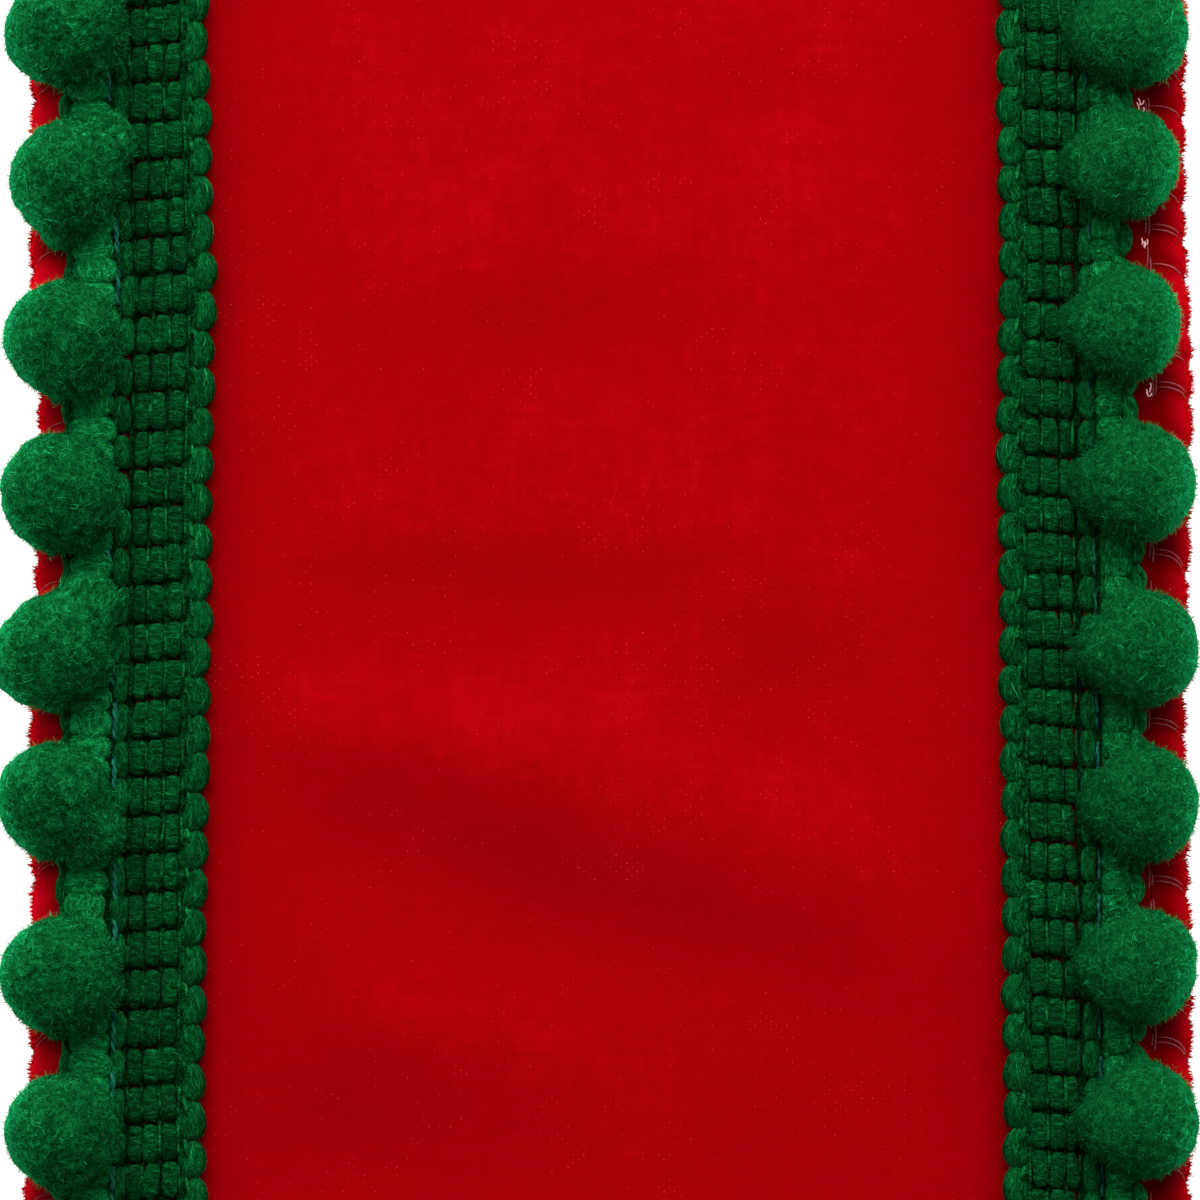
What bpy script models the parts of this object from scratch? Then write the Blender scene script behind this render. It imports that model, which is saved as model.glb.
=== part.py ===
"""A cut length of wired velvet ribbon with a knitted pompom trim sewn along each edge.

The ribbon lies on the XY plane with its length along Y and its pile facing +Z. It rests on its
two rolled hems. Each trim is a ribbed header with twelve pompoms fused to its outer band.
Sizes are in millimetres up to the last step, which turns them into metres.
"""

import math
import random
from collections import namedtuple

import bmesh
import bpy
from mathutils import Vector

MM = 0.001

# Ribbon
LENGTH = 101.6
RIBBON_ROWS = 37
RIBBON_TOP = 1.8
RIBBON_UNDER = 0.7
LOWEST_UNDER = 0.05
WAVE_FULL_TO = 14.0
WAVE_GONE_AT = 20.4
MIDDLE_COLUMNS = 10

# Trim
RIB_PITCH = LENGTH / 48
TRIM_UNDER = 2.1
RIB_JITTER = 0.07
POMPOM_Z = 5.15
POMPOM_FLAT = 0.95
POMPOM_FLOOR = 2.2
POMPOM_SEGMENTS = 13
POMPOM_RINGS = 9
LOBE_SEGMENTS = 10
LOBE_RINGS = 6
LUMPS = 7
LUMP_SIZE = 0.07

# The rolled hem's section, from the ribbon's outer edge inwards.
HemPoint = namedtuple("HemPoint", "inwards top under")
HEM = (
    HemPoint(0.00, 1.15, 0.60),
    HemPoint(0.25, 1.60, 0.15),
    HemPoint(0.65, 1.80, 0.00),
    HemPoint(1.55, 1.78, 0.00),
    HemPoint(2.10, 1.55, 0.35),
    HemPoint(2.50, 1.80, 0.70),
)

# The ribbon's two edges wander a little. Each row is a height up the ribbon and the edge there.
EdgePoint = namedtuple("EdgePoint", "y x")
LEFT_EDGE = (
    EdgePoint(-50.8, -31.2),
    EdgePoint(-41.0, -31.4),
    EdgePoint(-32.4, -31.6),
    EdgePoint(-25.3, -31.3),
    EdgePoint(-16.1, -31.2),
    EdgePoint(-6.9, -31.3),
    EdgePoint(1.4, -31.0),
    EdgePoint(10.2, -30.8),
    EdgePoint(18.8, -31.3),
    EdgePoint(27.1, -31.2),
    EdgePoint(39.0, -31.3),
    EdgePoint(50.8, -31.2),
)
RIGHT_EDGE = (
    EdgePoint(-50.8, 32.3),
    EdgePoint(-40.0, 32.2),
    EdgePoint(-32.4, 32.4),
    EdgePoint(-20.6, 32.5),
    EdgePoint(-14.8, 32.3),
    EdgePoint(-8.8, 32.1),
    EdgePoint(-2.2, 32.2),
    EdgePoint(4.9, 32.4),
    EdgePoint(12.1, 32.5),
    EdgePoint(21.7, 32.1),
    EdgePoint(28.8, 32.1),
    EdgePoint(40.0, 32.4),
    EdgePoint(50.8, 32.2),
)

# The line through the scallop tips of each header.
LEFT_TIPS = (
    EdgePoint(-50.8, -21.5),
    EdgePoint(-38.0, -21.6),
    EdgePoint(-26.5, -21.7),
    EdgePoint(-16.8, -21.6),
    EdgePoint(-6.1, -21.5),
    EdgePoint(3.3, -21.4),
    EdgePoint(9.9, -21.2),
    EdgePoint(16.0, -21.1),
    EdgePoint(22.2, -21.3),
    EdgePoint(30.7, -21.5),
    EdgePoint(50.8, -21.4),
)
RIGHT_TIPS = (
    EdgePoint(-50.8, 22.0),
    EdgePoint(-30.0, 22.2),
    EdgePoint(-22.7, 22.1),
    EdgePoint(-9.8, 22.0),
    EdgePoint(0.0, 21.9),
    EdgePoint(7.3, 21.8),
    EdgePoint(18.9, 21.9),
    EdgePoint(28.3, 21.8),
    EdgePoint(50.8, 21.9),
)

# Soft hollows and, where the depth is negative, soft crests in the velvet.
Hollow = namedtuple("Hollow", "x y along across angle depth")
HOLLOWS = (
    Hollow(-1.5, -14.8, 19.0, 3.2, -17.0, 0.62),
    Hollow(-6.5, 0.6, 13.0, 2.8, -2.0, 0.40),
    Hollow(10.5, -4.2, 4.5, 3.6, 20.0, 0.40),
    Hollow(-13.8, -29.6, 8.5, 4.0, -8.0, 0.45),
    Hollow(8.5, 27.5, 5.5, 3.0, 12.0, 0.35),
    Hollow(-5.0, 14.5, 11.0, 3.2, 6.0, 0.22),
    Hollow(7.0, 41.0, 11.0, 3.4, -12.0, 0.45),
    Hollow(-11.0, 36.5, 7.0, 3.2, 10.0, 0.30),
    Hollow(7.5, -41.5, 12.0, 3.4, 9.0, 0.50),
    Hollow(-9.0, -45.5, 6.0, 3.0, -14.0, 0.25),
    Hollow(-7.6, -6.8, 11.0, 2.6, -6.0, -0.22),
    Hollow(-7.0, -22.2, 9.0, 3.0, -14.0, -0.22),
    Hollow(12.5, -11.6, 7.0, 2.6, -16.0, -0.20),
    Hollow(5.5, 21.4, 5.0, 4.0, 30.0, -0.18),
)

# A header's section, from its scallop tips outwards. The heights are above its underside.
HeaderPoint = namedtuple("HeaderPoint", "outwards rib slot scallop")
HEADER = (
    HeaderPoint(0.00, 0.45, 0.50, 0.50),
    HeaderPoint(0.55, 0.85, 1.15, 0.15),
    HeaderPoint(1.15, 0.70, 0.60, 0.00),
    HeaderPoint(1.55, 1.25, 0.55, 0.00),
    HeaderPoint(3.95, 1.25, 0.55, 0.00),
    HeaderPoint(5.65, 0.80, 0.75, 0.00),
    HeaderPoint(6.20, 1.25, 0.80, 0.00),
    HeaderPoint(7.90, 1.15, 0.65, 0.00),
    HeaderPoint(8.45, 0.50, 0.40, 0.00),
)

# One row for each pompom. Wide is its half width as a share of its radius. The tuft is where
# it stands out a little further than the rest of the ball, and by how much.
Pompom = namedtuple("Pompom", "x y radius wide tuft_angle tuft")
LEFT_POMPOMS = (
    Pompom(-29.6, 47.2, 3.20, 1.00, 60, 0.08),
    Pompom(-29.4, 39.6, 3.25, 1.00, -20, 0.08),
    Pompom(-29.5, 31.4, 3.30, 1.00, 200, 0.06),
    Pompom(-29.3, 23.2, 3.20, 1.00, 240, 0.05),
    Pompom(-29.6, 14.3, 3.10, 1.03, -70, 0.08),
    Pompom(-29.5, 5.8, 3.30, 1.00, 150, 0.06),
    Pompom(-29.7, -3.1, 3.10, 1.03, 200, 0.05),
    Pompom(-29.8, -11.2, 3.20, 0.98, 150, 0.05),
    Pompom(-29.6, -20.6, 3.35, 1.00, 180, 0.05),
    Pompom(-29.4, -29.1, 3.15, 1.00, -80, 0.08),
    Pompom(-29.6, -37.7, 3.25, 1.00, 20, 0.07),
    Pompom(-29.4, -46.0, 3.20, 1.00, 130, 0.07),
)
RIGHT_POMPOMS = (
    Pompom(29.5, 47.3, 3.20, 0.94, 180, 0.10),
    Pompom(29.4, 39.8, 3.20, 0.94, 170, 0.10),
    Pompom(29.3, 31.4, 3.25, 0.94, 185, 0.12),
    Pompom(28.9, 24.0, 3.10, 0.94, 190, 0.08),
    Pompom(29.0, 15.3, 3.15, 0.90, 180, 0.12),
    Pompom(29.7, 6.5, 3.20, 0.90, 178, 0.14),
    Pompom(29.9, -2.6, 3.20, 0.92, 180, 0.14),
    Pompom(30.0, -11.1, 3.15, 0.92, 182, 0.12),
    Pompom(29.9, -20.0, 3.20, 0.92, 178, 0.14),
    Pompom(29.9, -28.5, 3.20, 0.92, 180, 0.12),
    Pompom(29.7, -37.2, 3.20, 0.94, 185, 0.10),
    Pompom(29.8, -45.8, 3.15, 0.94, 175, 0.10),
)

# Smaller balls of wool that have half parted from a pompom.
Lobe = namedtuple("Lobe", "x y z radius")
LEFT_LOBES = (
    Lobe(-26.7, 25.4, 4.50, 1.35),
    Lobe(-29.5, 20.1, 4.00, 1.00),
    Lobe(-28.1, -0.2, 4.90, 1.75),
    Lobe(-27.7, -12.6, 5.00, 1.75),
)

Trim = namedtuple("Trim", "name side phase tips pompoms lobes seed")
TRIMS = (
    Trim("trim_left", -1, 0.50, LEFT_TIPS, LEFT_POMPOMS, LEFT_LOBES, 11),
    Trim("trim_right", 1, 0.79, RIGHT_TIPS, RIGHT_POMPOMS, (), 23),
)


def clear_scene():
    """Empties the scene of its objects."""
    for obj in list(bpy.data.objects):
        bpy.data.objects.remove(obj, do_unlink=True)


def new_collection(name):
    """A collection under the scene's own."""
    collection = bpy.data.collections.new(name)
    bpy.context.scene.collection.children.link(collection)
    return collection


def new_material(name, colour, roughness, sheen):
    """A plain cloth material."""
    material = bpy.data.materials.new(name)
    material.use_nodes = True
    shader = material.node_tree.nodes["Principled BSDF"]
    shader.inputs["Base Color"].default_value = (*colour, 1.0)
    shader.inputs["Roughness"].default_value = roughness
    shader.inputs["Metallic"].default_value = 0.0
    shader.inputs["Sheen Weight"].default_value = sheen
    material.diffuse_color = (*colour, 1.0)
    return material


def eased(share):
    """A share from 0 to 1 with soft ends."""
    share = min(max(share, 0.0), 1.0)
    return share * share * (3.0 - 2.0 * share)


def edge_at(points, y):
    """The x of a wandering edge at y."""
    for low, high in zip(points, points[1:]):
        if y <= high.y:
            share = eased((y - low.y) / (high.y - low.y))
            return low.x + share * (high.x - low.x)
    return points[-1].x


def hollow_depth(x, y):
    """How far the velvet dips at a point. It is flat beneath the trims."""
    total = 0.0
    for hollow in HOLLOWS:
        turn = math.radians(hollow.angle)
        dx = x - hollow.x
        dy = y - hollow.y
        along = (dx * math.cos(turn) + dy * math.sin(turn)) / hollow.along
        across = (dy * math.cos(turn) - dx * math.sin(turn)) / hollow.across
        total += hollow.depth * math.exp(-along * along - across * across)
    fade = 1.0 - eased((abs(x) - WAVE_FULL_TO) / (WAVE_GONE_AT - WAVE_FULL_TO))
    return fade * total


def slab(name, columns, rows, top, under):
    """A closed slab on a grid, whose points come from top(column, row) and under(column, row)."""
    bm = bmesh.new()
    bmesh.ops.create_grid(bm, x_segments=columns - 1, y_segments=rows - 1, size=1.0)
    column_of = bm.verts.layers.int.new("column")
    row_of = bm.verts.layers.int.new("row")
    for vert in bm.verts:
        vert[column_of] = round((vert.co.x + 1.0) / 2.0 * (columns - 1))
        vert[row_of] = round((vert.co.y + 1.0) / 2.0 * (rows - 1))
    extruded = bmesh.ops.extrude_face_region(bm, geom=bm.faces[:])
    lower = {item for item in extruded["geom"] if isinstance(item, bmesh.types.BMVert)}
    for vert in bm.verts:
        place = under if vert in lower else top
        vert.co = Vector(place(vert[column_of], vert[row_of])) * MM
    flat_edges = [edge for edge in bm.edges if all(vert in lower for vert in edge.verts)]
    bmesh.ops.dissolve_limit(
        bm, angle_limit=math.radians(0.01), verts=list(lower), edges=flat_edges
    )
    bmesh.ops.recalc_face_normals(bm, faces=bm.faces)
    mesh = bpy.data.meshes.new(name)
    bm.to_mesh(mesh)
    bm.free()
    mesh.shade_smooth()
    mesh.set_sharp_from_angle(angle=math.radians(40))
    return bpy.data.objects.new(name, mesh)


def make_ribbon():
    """The velvet, from the left hem's edge to the right hem's edge."""
    hem_columns = len(HEM)
    columns = 2 * hem_columns + MIDDLE_COLUMNS + 1
    inner = -WAVE_GONE_AT
    step = 2.0 * WAVE_GONE_AT / MIDDLE_COLUMNS

    def row_y(row):
        return LENGTH * (row / (RIBBON_ROWS - 1) - 0.5)

    def section(column, y):
        if column < hem_columns:
            point = HEM[column]
            return edge_at(LEFT_EDGE, y) + point.inwards, point.top, point.under
        if column >= columns - hem_columns:
            point = HEM[columns - 1 - column]
            return edge_at(RIGHT_EDGE, y) - point.inwards, point.top, point.under
        x = inner + step * (column - hem_columns)
        dip = hollow_depth(x, y)
        return x, RIBBON_TOP - dip, max(RIBBON_UNDER - dip, LOWEST_UNDER)

    def top(column, row):
        x, high, _ = section(column, row_y(row))
        return x, row_y(row), high

    def under(column, row):
        x, _, low = section(column, row_y(row))
        return x, row_y(row), low

    return slab("ribbon", columns, RIBBON_ROWS, top, under)


def header_rows(trim):
    """The header's rows up its length, each with its y and whether it is a slot."""
    rng = random.Random(trim.seed)
    rows = [(-0.5 * LENGTH, False)]
    for rib in range(-1, 49):
        shift = rng.uniform(-RIB_JITTER, RIB_JITTER)
        for part in range(3):
            y = (rib + trim.phase + part / 3.0) * RIB_PITCH + shift
            if 0.25 < y < LENGTH - 0.25:
                rows.append((y - 0.5 * LENGTH, part == 0))
    rows.append((0.5 * LENGTH, False))
    return rows


def make_header(trim):
    """The knitted header: scallops, ribs, stitch channel and outer band."""
    rows = header_rows(trim)

    def plan(column, row):
        y, is_slot = rows[row]
        point = HEADER[column]
        outwards = point.outwards + (0.0 if is_slot else point.scallop)
        return edge_at(trim.tips, y) + trim.side * outwards, y

    def top(column, row):
        point = HEADER[column]
        height = point.slot if rows[row][1] else point.rib
        return (*plan(column, row), TRIM_UNDER + height)

    def under(column, row):
        return (*plan(column, row), TRIM_UNDER)

    return slab(trim.name, len(HEADER), len(rows), top, under)


def add_ball(bm, pompom, rng):
    """One lumpy pompom, flattened where it lies on the hem."""
    ball = bmesh.ops.create_uvsphere(
        bm, u_segments=POMPOM_SEGMENTS, v_segments=POMPOM_RINGS, radius=1.0
    )
    spin = math.radians(pompom.tuft_angle)
    tuft_way = Vector((math.cos(spin), math.sin(spin), 0.25)).normalized()
    lumps = []
    for _ in range(LUMPS):
        way = Vector([rng.gauss(0.0, 1.0) for _ in range(3)]).normalized()
        lumps.append((way, rng.uniform(-LUMP_SIZE, LUMP_SIZE)))
    for vert in ball["verts"]:
        way = vert.co.normalized()
        swell = 1.0 + pompom.tuft * max(0.0, way.dot(tuft_way)) ** 6
        for lump_way, size in lumps:
            swell += size * max(0.0, way.dot(lump_way)) ** 3
        reach = way * pompom.radius * swell
        z = max(POMPOM_Z + reach.z * POMPOM_FLAT, POMPOM_FLOOR)
        vert.co = Vector((pompom.x + reach.x * pompom.wide, pompom.y + reach.y, z)) * MM


def make_cutter(name, bm):
    """A mesh under construction as a shape that is joined to another."""
    mesh = bpy.data.meshes.new(name)
    bm.to_mesh(mesh)
    bm.free()
    mesh.shade_smooth()
    cutter = bpy.data.objects.new(name, mesh)
    cutter.hide_render = True
    cutter.display_type = "WIRE"
    return cutter


def make_balls(trim):
    """All the pompoms of one trim."""
    rng = random.Random(trim.seed + 100)
    bm = bmesh.new()
    for pompom in trim.pompoms:
        add_ball(bm, pompom, rng)
    return make_cutter(trim.name + "_pompoms", bm)


def make_lobes(trim):
    """The smaller balls of wool beside one trim's pompoms."""
    bm = bmesh.new()
    for lobe in trim.lobes:
        ball = bmesh.ops.create_uvsphere(
            bm, u_segments=LOBE_SEGMENTS, v_segments=LOBE_RINGS, radius=lobe.radius * MM
        )
        bmesh.ops.translate(bm, verts=ball["verts"], vec=Vector((lobe.x, lobe.y, lobe.z)) * MM)
    return make_cutter(trim.name + "_lobes", bm)


def fuse(obj, other):
    """Joins another closed shape to an object."""
    union = obj.modifiers.new("union_" + other.name, "BOOLEAN")
    union.operation = "UNION"
    union.solver = "EXACT"
    union.object = other


def main():
    clear_scene()
    parts = new_collection("pompom_trimmed_ribbon")
    cutters = new_collection("cutters")
    velvet = new_material("velvet_red", (0.456, 0.001, 0.004), 0.9, 0.6)
    yarn = new_material("yarn_green", (0.003, 0.078, 0.021), 0.95, 0.3)

    ribbon = make_ribbon()
    ribbon.data.materials.append(velvet)
    parts.objects.link(ribbon)

    for trim in TRIMS:
        header = make_header(trim)
        header.data.materials.append(yarn)
        parts.objects.link(header)
        wools = [make_balls(trim)]
        if trim.lobes:
            wools.append(make_lobes(trim))
        for wool in wools:
            wool.data.materials.append(yarn)
            cutters.objects.link(wool)
            fuse(header, wool)


main()
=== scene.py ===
"""Looks of a cut length of wired velvet ribbon with a knitted pompom trim along each edge.

Sizes are in millimetres in the part's own frame, and each mesh turns them into metres.
"""

import itertools
import math
import random
import bmesh
import bpy
import numpy as np
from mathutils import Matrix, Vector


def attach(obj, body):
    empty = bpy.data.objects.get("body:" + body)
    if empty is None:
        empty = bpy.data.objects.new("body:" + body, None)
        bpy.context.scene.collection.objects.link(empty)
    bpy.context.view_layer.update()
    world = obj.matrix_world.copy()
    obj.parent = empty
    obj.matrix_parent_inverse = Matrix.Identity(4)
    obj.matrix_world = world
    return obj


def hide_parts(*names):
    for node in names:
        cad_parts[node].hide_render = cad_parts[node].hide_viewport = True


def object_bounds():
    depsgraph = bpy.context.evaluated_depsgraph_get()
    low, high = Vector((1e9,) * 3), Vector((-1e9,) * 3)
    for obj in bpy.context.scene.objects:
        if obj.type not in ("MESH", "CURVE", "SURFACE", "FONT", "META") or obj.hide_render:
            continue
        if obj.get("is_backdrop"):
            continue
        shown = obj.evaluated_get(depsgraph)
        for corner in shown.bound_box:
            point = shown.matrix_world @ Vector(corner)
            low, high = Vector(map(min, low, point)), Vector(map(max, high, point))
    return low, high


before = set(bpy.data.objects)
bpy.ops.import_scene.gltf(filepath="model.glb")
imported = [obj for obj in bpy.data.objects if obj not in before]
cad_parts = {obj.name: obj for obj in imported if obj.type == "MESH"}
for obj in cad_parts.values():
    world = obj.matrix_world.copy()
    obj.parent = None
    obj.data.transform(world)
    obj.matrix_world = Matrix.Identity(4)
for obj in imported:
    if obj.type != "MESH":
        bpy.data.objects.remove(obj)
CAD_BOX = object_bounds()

# A millimetre in metres; the lowest and highest tint; how far each piece's grain may be moved
# along its material; and a direction that no strand runs along.
MM = 0.001
TINTS = (0.02, 0.98)
GRAIN_SPAN = 90.0
NEARLY_UP = (0.03, 0.02, 1.0)

# The ribbon's length, the heights of its two sides where it is flat, how near the table its
# underside may come, and how far from the middle its waves begin to fade and are gone.
LENGTH = 101.6
RIBBON_TOP = 1.8
RIBBON_UNDER = 0.7
LOWEST_UNDER = 0.05
WAVE_FULL_TO = 14.0
WAVE_GONE_AT = 20.4

# The velvet's tint; how much painted shade darkens it beside the trims, for each mm that it dips
# (crests get painted light) and near the bottom of the picture; and how much painted light makes
# it paler beyond the scallop tips, under the trims.
VELVET_TINT = 0.515
TRIM_SHADE = 0.365
DIP_SHADE = 0.20
LOWER_SHADE = 0.035
BEYOND_SHINE = 0.35

# The rolled hems: half their width and height, how square they are, and their underside's height
# in steps inwards.
HEM_HALF_X = 1.1
HEM_HALF_Z = 0.9
HEM_SQUARE = 0.75
HEM_UNDER = (0.9, 0.55, 0.28, 0.1, 0.01, 0, 0, 0, 0.02, 0.1, 0.2, 0.42, 0.6, 0.68)

# Where a hem runs into the cloth, as inwards and height, and how far from the ribbon's middle the
# cloth between the hems goes, in so many columns.
HEM_JOIN = ((2.05, 1.56), (2.3, 1.66), (2.6, 1.78))
MIDDLE_TO = 28.4
MIDDLE_COLUMNS = 38

# The grooves that the overlock pulls into the hems: pitch, width and wandering as shares of it,
# the right hem's start, how far they climb and over what angle, how deep they are from the edge
# and from above, how much painted shade darkens them, and how far inwards they end.
GROOVE_PITCH = 2.25
GROOVE_SHARE = 0.19
GROOVE_WANDER = 0.12
GROOVE_START = 0.37
GROOVE_CLIMB = 1.05
GROOVE_LEVEL = 1.9
GROOVE_PULL = 0.26
GROOVE_SINK = 0.22
GROOVE_SHADE = 0.26
GROOVE_END = 2.3

# The sewing thread: the length of one twist, and a ply's radius as a share of the thread's.
PLY_PITCH = 1.1
PLY_SHARE = 0.56

# The trims: the height of a rib and how it slants, how far outwards the column lies, the height
# of a bundle, and how high the header's underside is.
RIB_PITCH = LENGTH / 48
RIB_SLANT = 0.085
COLUMN = 4.86
BUNDLE_PITCH = 1.25
TRIM_UNDER = 2.1

# The pompoms: the height of their middles, their own height as a share of their width, the lowest
# that their wool goes, and their lumps.
POMPOM_Z = 5.15
POMPOM_FLAT = 0.95
POMPOM_FLOOR = 2.2
LUMPS = 7
LUMP_SIZE = 0.07

# Light: the floor's own glow, the sky all round, and the lamps: name, place, size, power.
FLOOR_WHITE = 0.55
FLOOR_GLOW = 0.85
SKY = 0.20
LIGHTS = (
    ("key", (-0.05, 0.52, 0.38), 0.5, 5.6),
    ("top", (-0.03, 0.31, 0.62), 0.5, 3.9),
)

# The web under the ribs, its dark tints painted shade: outwards, height, radius, tint.
WEB = (
    (1.25, 0.45, 0.40, 0.22), (2.45, 0.34, 0.26, 0.16), (3.405, 0.30, 0.16, 0.14),
    (4.33, 0.28, 0.24, 0.06),
)

# The wandering edges of the ribbon, the scallops' tips (as y, x) and the stitches (as y and how
# far outwards of the tips).
LEFT_EDGE = (
    (-50.8, -31.2), (-41.0, -31.4), (-32.4, -31.6), (-25.3, -31.3), (-16.1, -31.2),
    (-6.9, -31.3), (1.4, -31.0), (10.2, -30.8), (18.8, -31.3), (27.1, -31.2), (39.0, -31.3),
    (50.8, -31.2),
)
RIGHT_EDGE = (
    (-50.8, 32.3), (-40.0, 32.2), (-32.4, 32.4), (-20.6, 32.5), (-14.8, 32.3), (-8.8, 32.1),
    (-2.2, 32.2), (4.9, 32.4), (12.1, 32.5), (21.7, 32.1), (28.8, 32.1), (40.0, 32.4),
    (50.8, 32.2),
)
LEFT_TIPS = (
    (-50.8, -21.47), (-38.0, -21.6), (-26.5, -21.7), (-16.8, -21.6), (-6.1, -21.45),
    (3.3, -21.36), (9.9, -21.26), (16.0, -21.1), (22.2, -21.3), (30.7, -21.5), (50.8, -21.4),
)
RIGHT_TIPS = (
    (-50.8, 22.0), (-30.0, 22.2), (-22.7, 22.1), (-9.8, 22.0), (0.0, 21.9), (7.3, 21.8),
    (18.9, 21.9), (28.3, 21.8), (50.8, 21.9),
)
LEFT_STITCH = (
    (-50.8, 5.2), (-16.6, 5.0), (-7.0, 5.2), (3.3, 5.6), (10.0, 5.7), (18.6, 5.3), (27.5, 5.5),
    (50.8, 5.4),
)
RIGHT_STITCH = ((-50.8, 5.4), (-25.0, 5.35), (0.0, 5.3), (15.0, 5.0), (28.0, 4.8), (50.8, 5.0))

# The two hems: side, edge, tint, pale as painted light at the outer edge, how much painted shade
# darkens them inwards, the tint of their pile, also pale as painted light, and how thick the
# overlock is on them.
HEMS = ((-1, LEFT_EDGE, 0.98, 0.08, 0.90, 0.7), (1, RIGHT_EDGE, 0.80, 0.32, 0.76, 1.0))

# Soft hollows (depth above 0) and crests in the velvet: x, y, along, across, angle, depth.
HOLLOWS = (
    (-1.5, -16.4, 19.0, 3.7, -17.0, 0.66), (-6.5, 0.4, 11.5, 2.8, -2.0, 0.31),
    (10.5, -4.2, 4.5, 3.6, 20.0, 0.40), (-13.8, -29.6, 8.5, 4.0, -8.0, 0.36),
    (8.5, 28.0, 5.5, 3.0, 12.0, 0.07), (-5.0, 14.5, 11.0, 3.2, 6.0, 0.22),
    (7.0, 41.0, 11.0, 3.4, -12.0, 0.45), (-11.0, 36.5, 7.0, 3.2, 10.0, 0.30),
    (7.5, -41.5, 12.0, 3.4, 9.0, 0.50), (-9.0, -45.5, 6.0, 3.0, -14.0, 0.25),
    (-7.6, -6.8, 11.0, 2.6, -6.0, -0.22), (-7.0, -23.4, 9.0, 3.0, -14.0, -0.24),
    (12.5, -12.6, 7.0, 2.6, -16.0, -0.09), (5.5, 21.0, 5.0, 4.0, 30.0, -0.05),
    (-19.0, -10.9, 5.0, 3.0, -17.0, 0.08), (-19.0, -6.4, 5.0, 2.6, -10.0, -0.08),
)

# Pompoms: x, y, radius, half width as a share of it, the angle of a tuft, and its size.
LEFT_POMPOMS = (
    (-29.6, 47.2, 3.20, 1.00, 60, 0.08), (-29.4, 39.6, 3.25, 1.00, -20, 0.08),
    (-29.2, 31.4, 3.25, 0.98, 200, 0.06), (-29.3, 23.2, 3.15, 1.00, 240, 0.05),
    (-29.3, 14.3, 3.20, 0.98, -70, 0.08), (-29.5, 5.8, 3.30, 1.00, 150, 0.06),
    (-29.7, -2.8, 3.10, 1.03, 200, 0.05), (-29.8, -11.0, 3.20, 0.98, 150, 0.05),
    (-29.5, -20.7, 3.35, 1.00, 180, 0.05), (-29.4, -29.1, 3.15, 1.00, -80, 0.08),
    (-29.6, -37.7, 3.25, 1.00, 20, 0.07), (-29.4, -46.0, 3.20, 1.00, 130, 0.07),
)
RIGHT_POMPOMS = (
    (29.5, 47.3, 3.20, 0.94, 180, 0.10), (29.4, 39.8, 3.20, 0.94, 170, 0.10),
    (29.25, 31.3, 3.25, 0.94, 185, 0.12), (28.85, 23.9, 3.10, 0.94, 190, 0.08),
    (28.95, 15.2, 3.15, 0.90, 180, 0.12), (29.5, 6.4, 3.22, 0.90, 178, 0.14),
    (29.85, -2.8, 3.20, 0.92, 180, 0.14), (29.95, -11.2, 3.15, 0.92, 182, 0.12),
    (29.7, -20.1, 3.20, 0.92, 178, 0.14), (29.85, -28.5, 3.22, 0.92, 180, 0.12),
    (29.7, -37.2, 3.20, 0.94, 185, 0.10), (29.8, -45.8, 3.15, 0.94, 175, 0.10),
)

# Smaller balls of wool that have half parted from a pompom: x, y, z, radius.
LEFT_LOBES = (
    (-27.1, 25.1, 4.60, 1.70), (-29.5, 20.3, 4.20, 1.10), (-28.1, -0.2, 4.90, 1.75),
    (-27.7, -12.6, 5.00, 1.75),
)
RIGHT_LOBES = tuple((x - 1.95, y - 0.1, 4.7, 0.56 * r) for x, y, r, _, _, _ in RIGHT_POMPOMS)

# Where the overlock's thread is tied off, as x, y, and how many strands show there.
KNOT_STRANDS = 5
KNOTS = ((29.7, 27.0), (29.9, 19.6), (30.15, 11.6))

# Painted light round a pompom's rim: how much paler its wool is at degrees up from straight
# outwards, and the size of that.
RIM_LIGHT_SIZE = 0.92
LEFT_RIM_LIGHT = (
    (-90, 0.2), (-75, 0.45), (-60, 1.1), (-45, 1.58), (-30, 1.3), (-15, 1.15), (0, 1.03),
    (30, 0.93), (45, 0.8), (60, 0.42), (75, 0.12), (90, 0.0),
)
RIGHT_RIM_LIGHT = (
    (-90, 0.0), (-75, 0.2), (-60, 0.5), (-45, 0.95), (-15, 1.08), (0, 0.86), (15, 0.69),
    (30, 0.49), (45, 0.31), (60, 0.25), (75, 0.12), (95, 0.0),
)

# The web under the bundles: its share of the way across the band, height, tint. The darkest, in
# the channel by the column, is painted shade.
BAND_WEB = ((0.12, 0.42, 0.10), (0.37, 0.72, 0.5), (0.62, 0.72, 0.5), (0.87, 0.72, 0.36))

# Each kind of yarn: how square it is, bow, taper, its bumps' size and pitch, tint, how fine its
# grain is each way, and twist.
YARNS = {
    "bead": (3.8, 0.0, 0.0, (0.05, 0.45), 0.35, (1.2, 4.2, 1.2), 0.0),
    "scallop": (2.3, 0.28, -0.14, (0.05, 0.5), 0.40, (4.2, 0.9, 4.2), 0.35),
    "column": (2.4, 0.0, 0.0, (0.07, 0.5), 0.44, (3.4, 1.4, 3.4), 0.0),
    "bundle": (2.7, 0.0, 0.0, (0.04, 0.45), 0.0, (1.1, 2.9, 2.9), 0.0),
    "upright": (2.7, 0.0, 0.0, (0.04, 0.45), 0.0, (2.9, 1.1, 2.9), 0.0),
    "edging": (2.4, 0.5, 0.0, (0.06, 0.5), 0.0, (3.0, 1.0, 3.0), 0.5),
}

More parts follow.
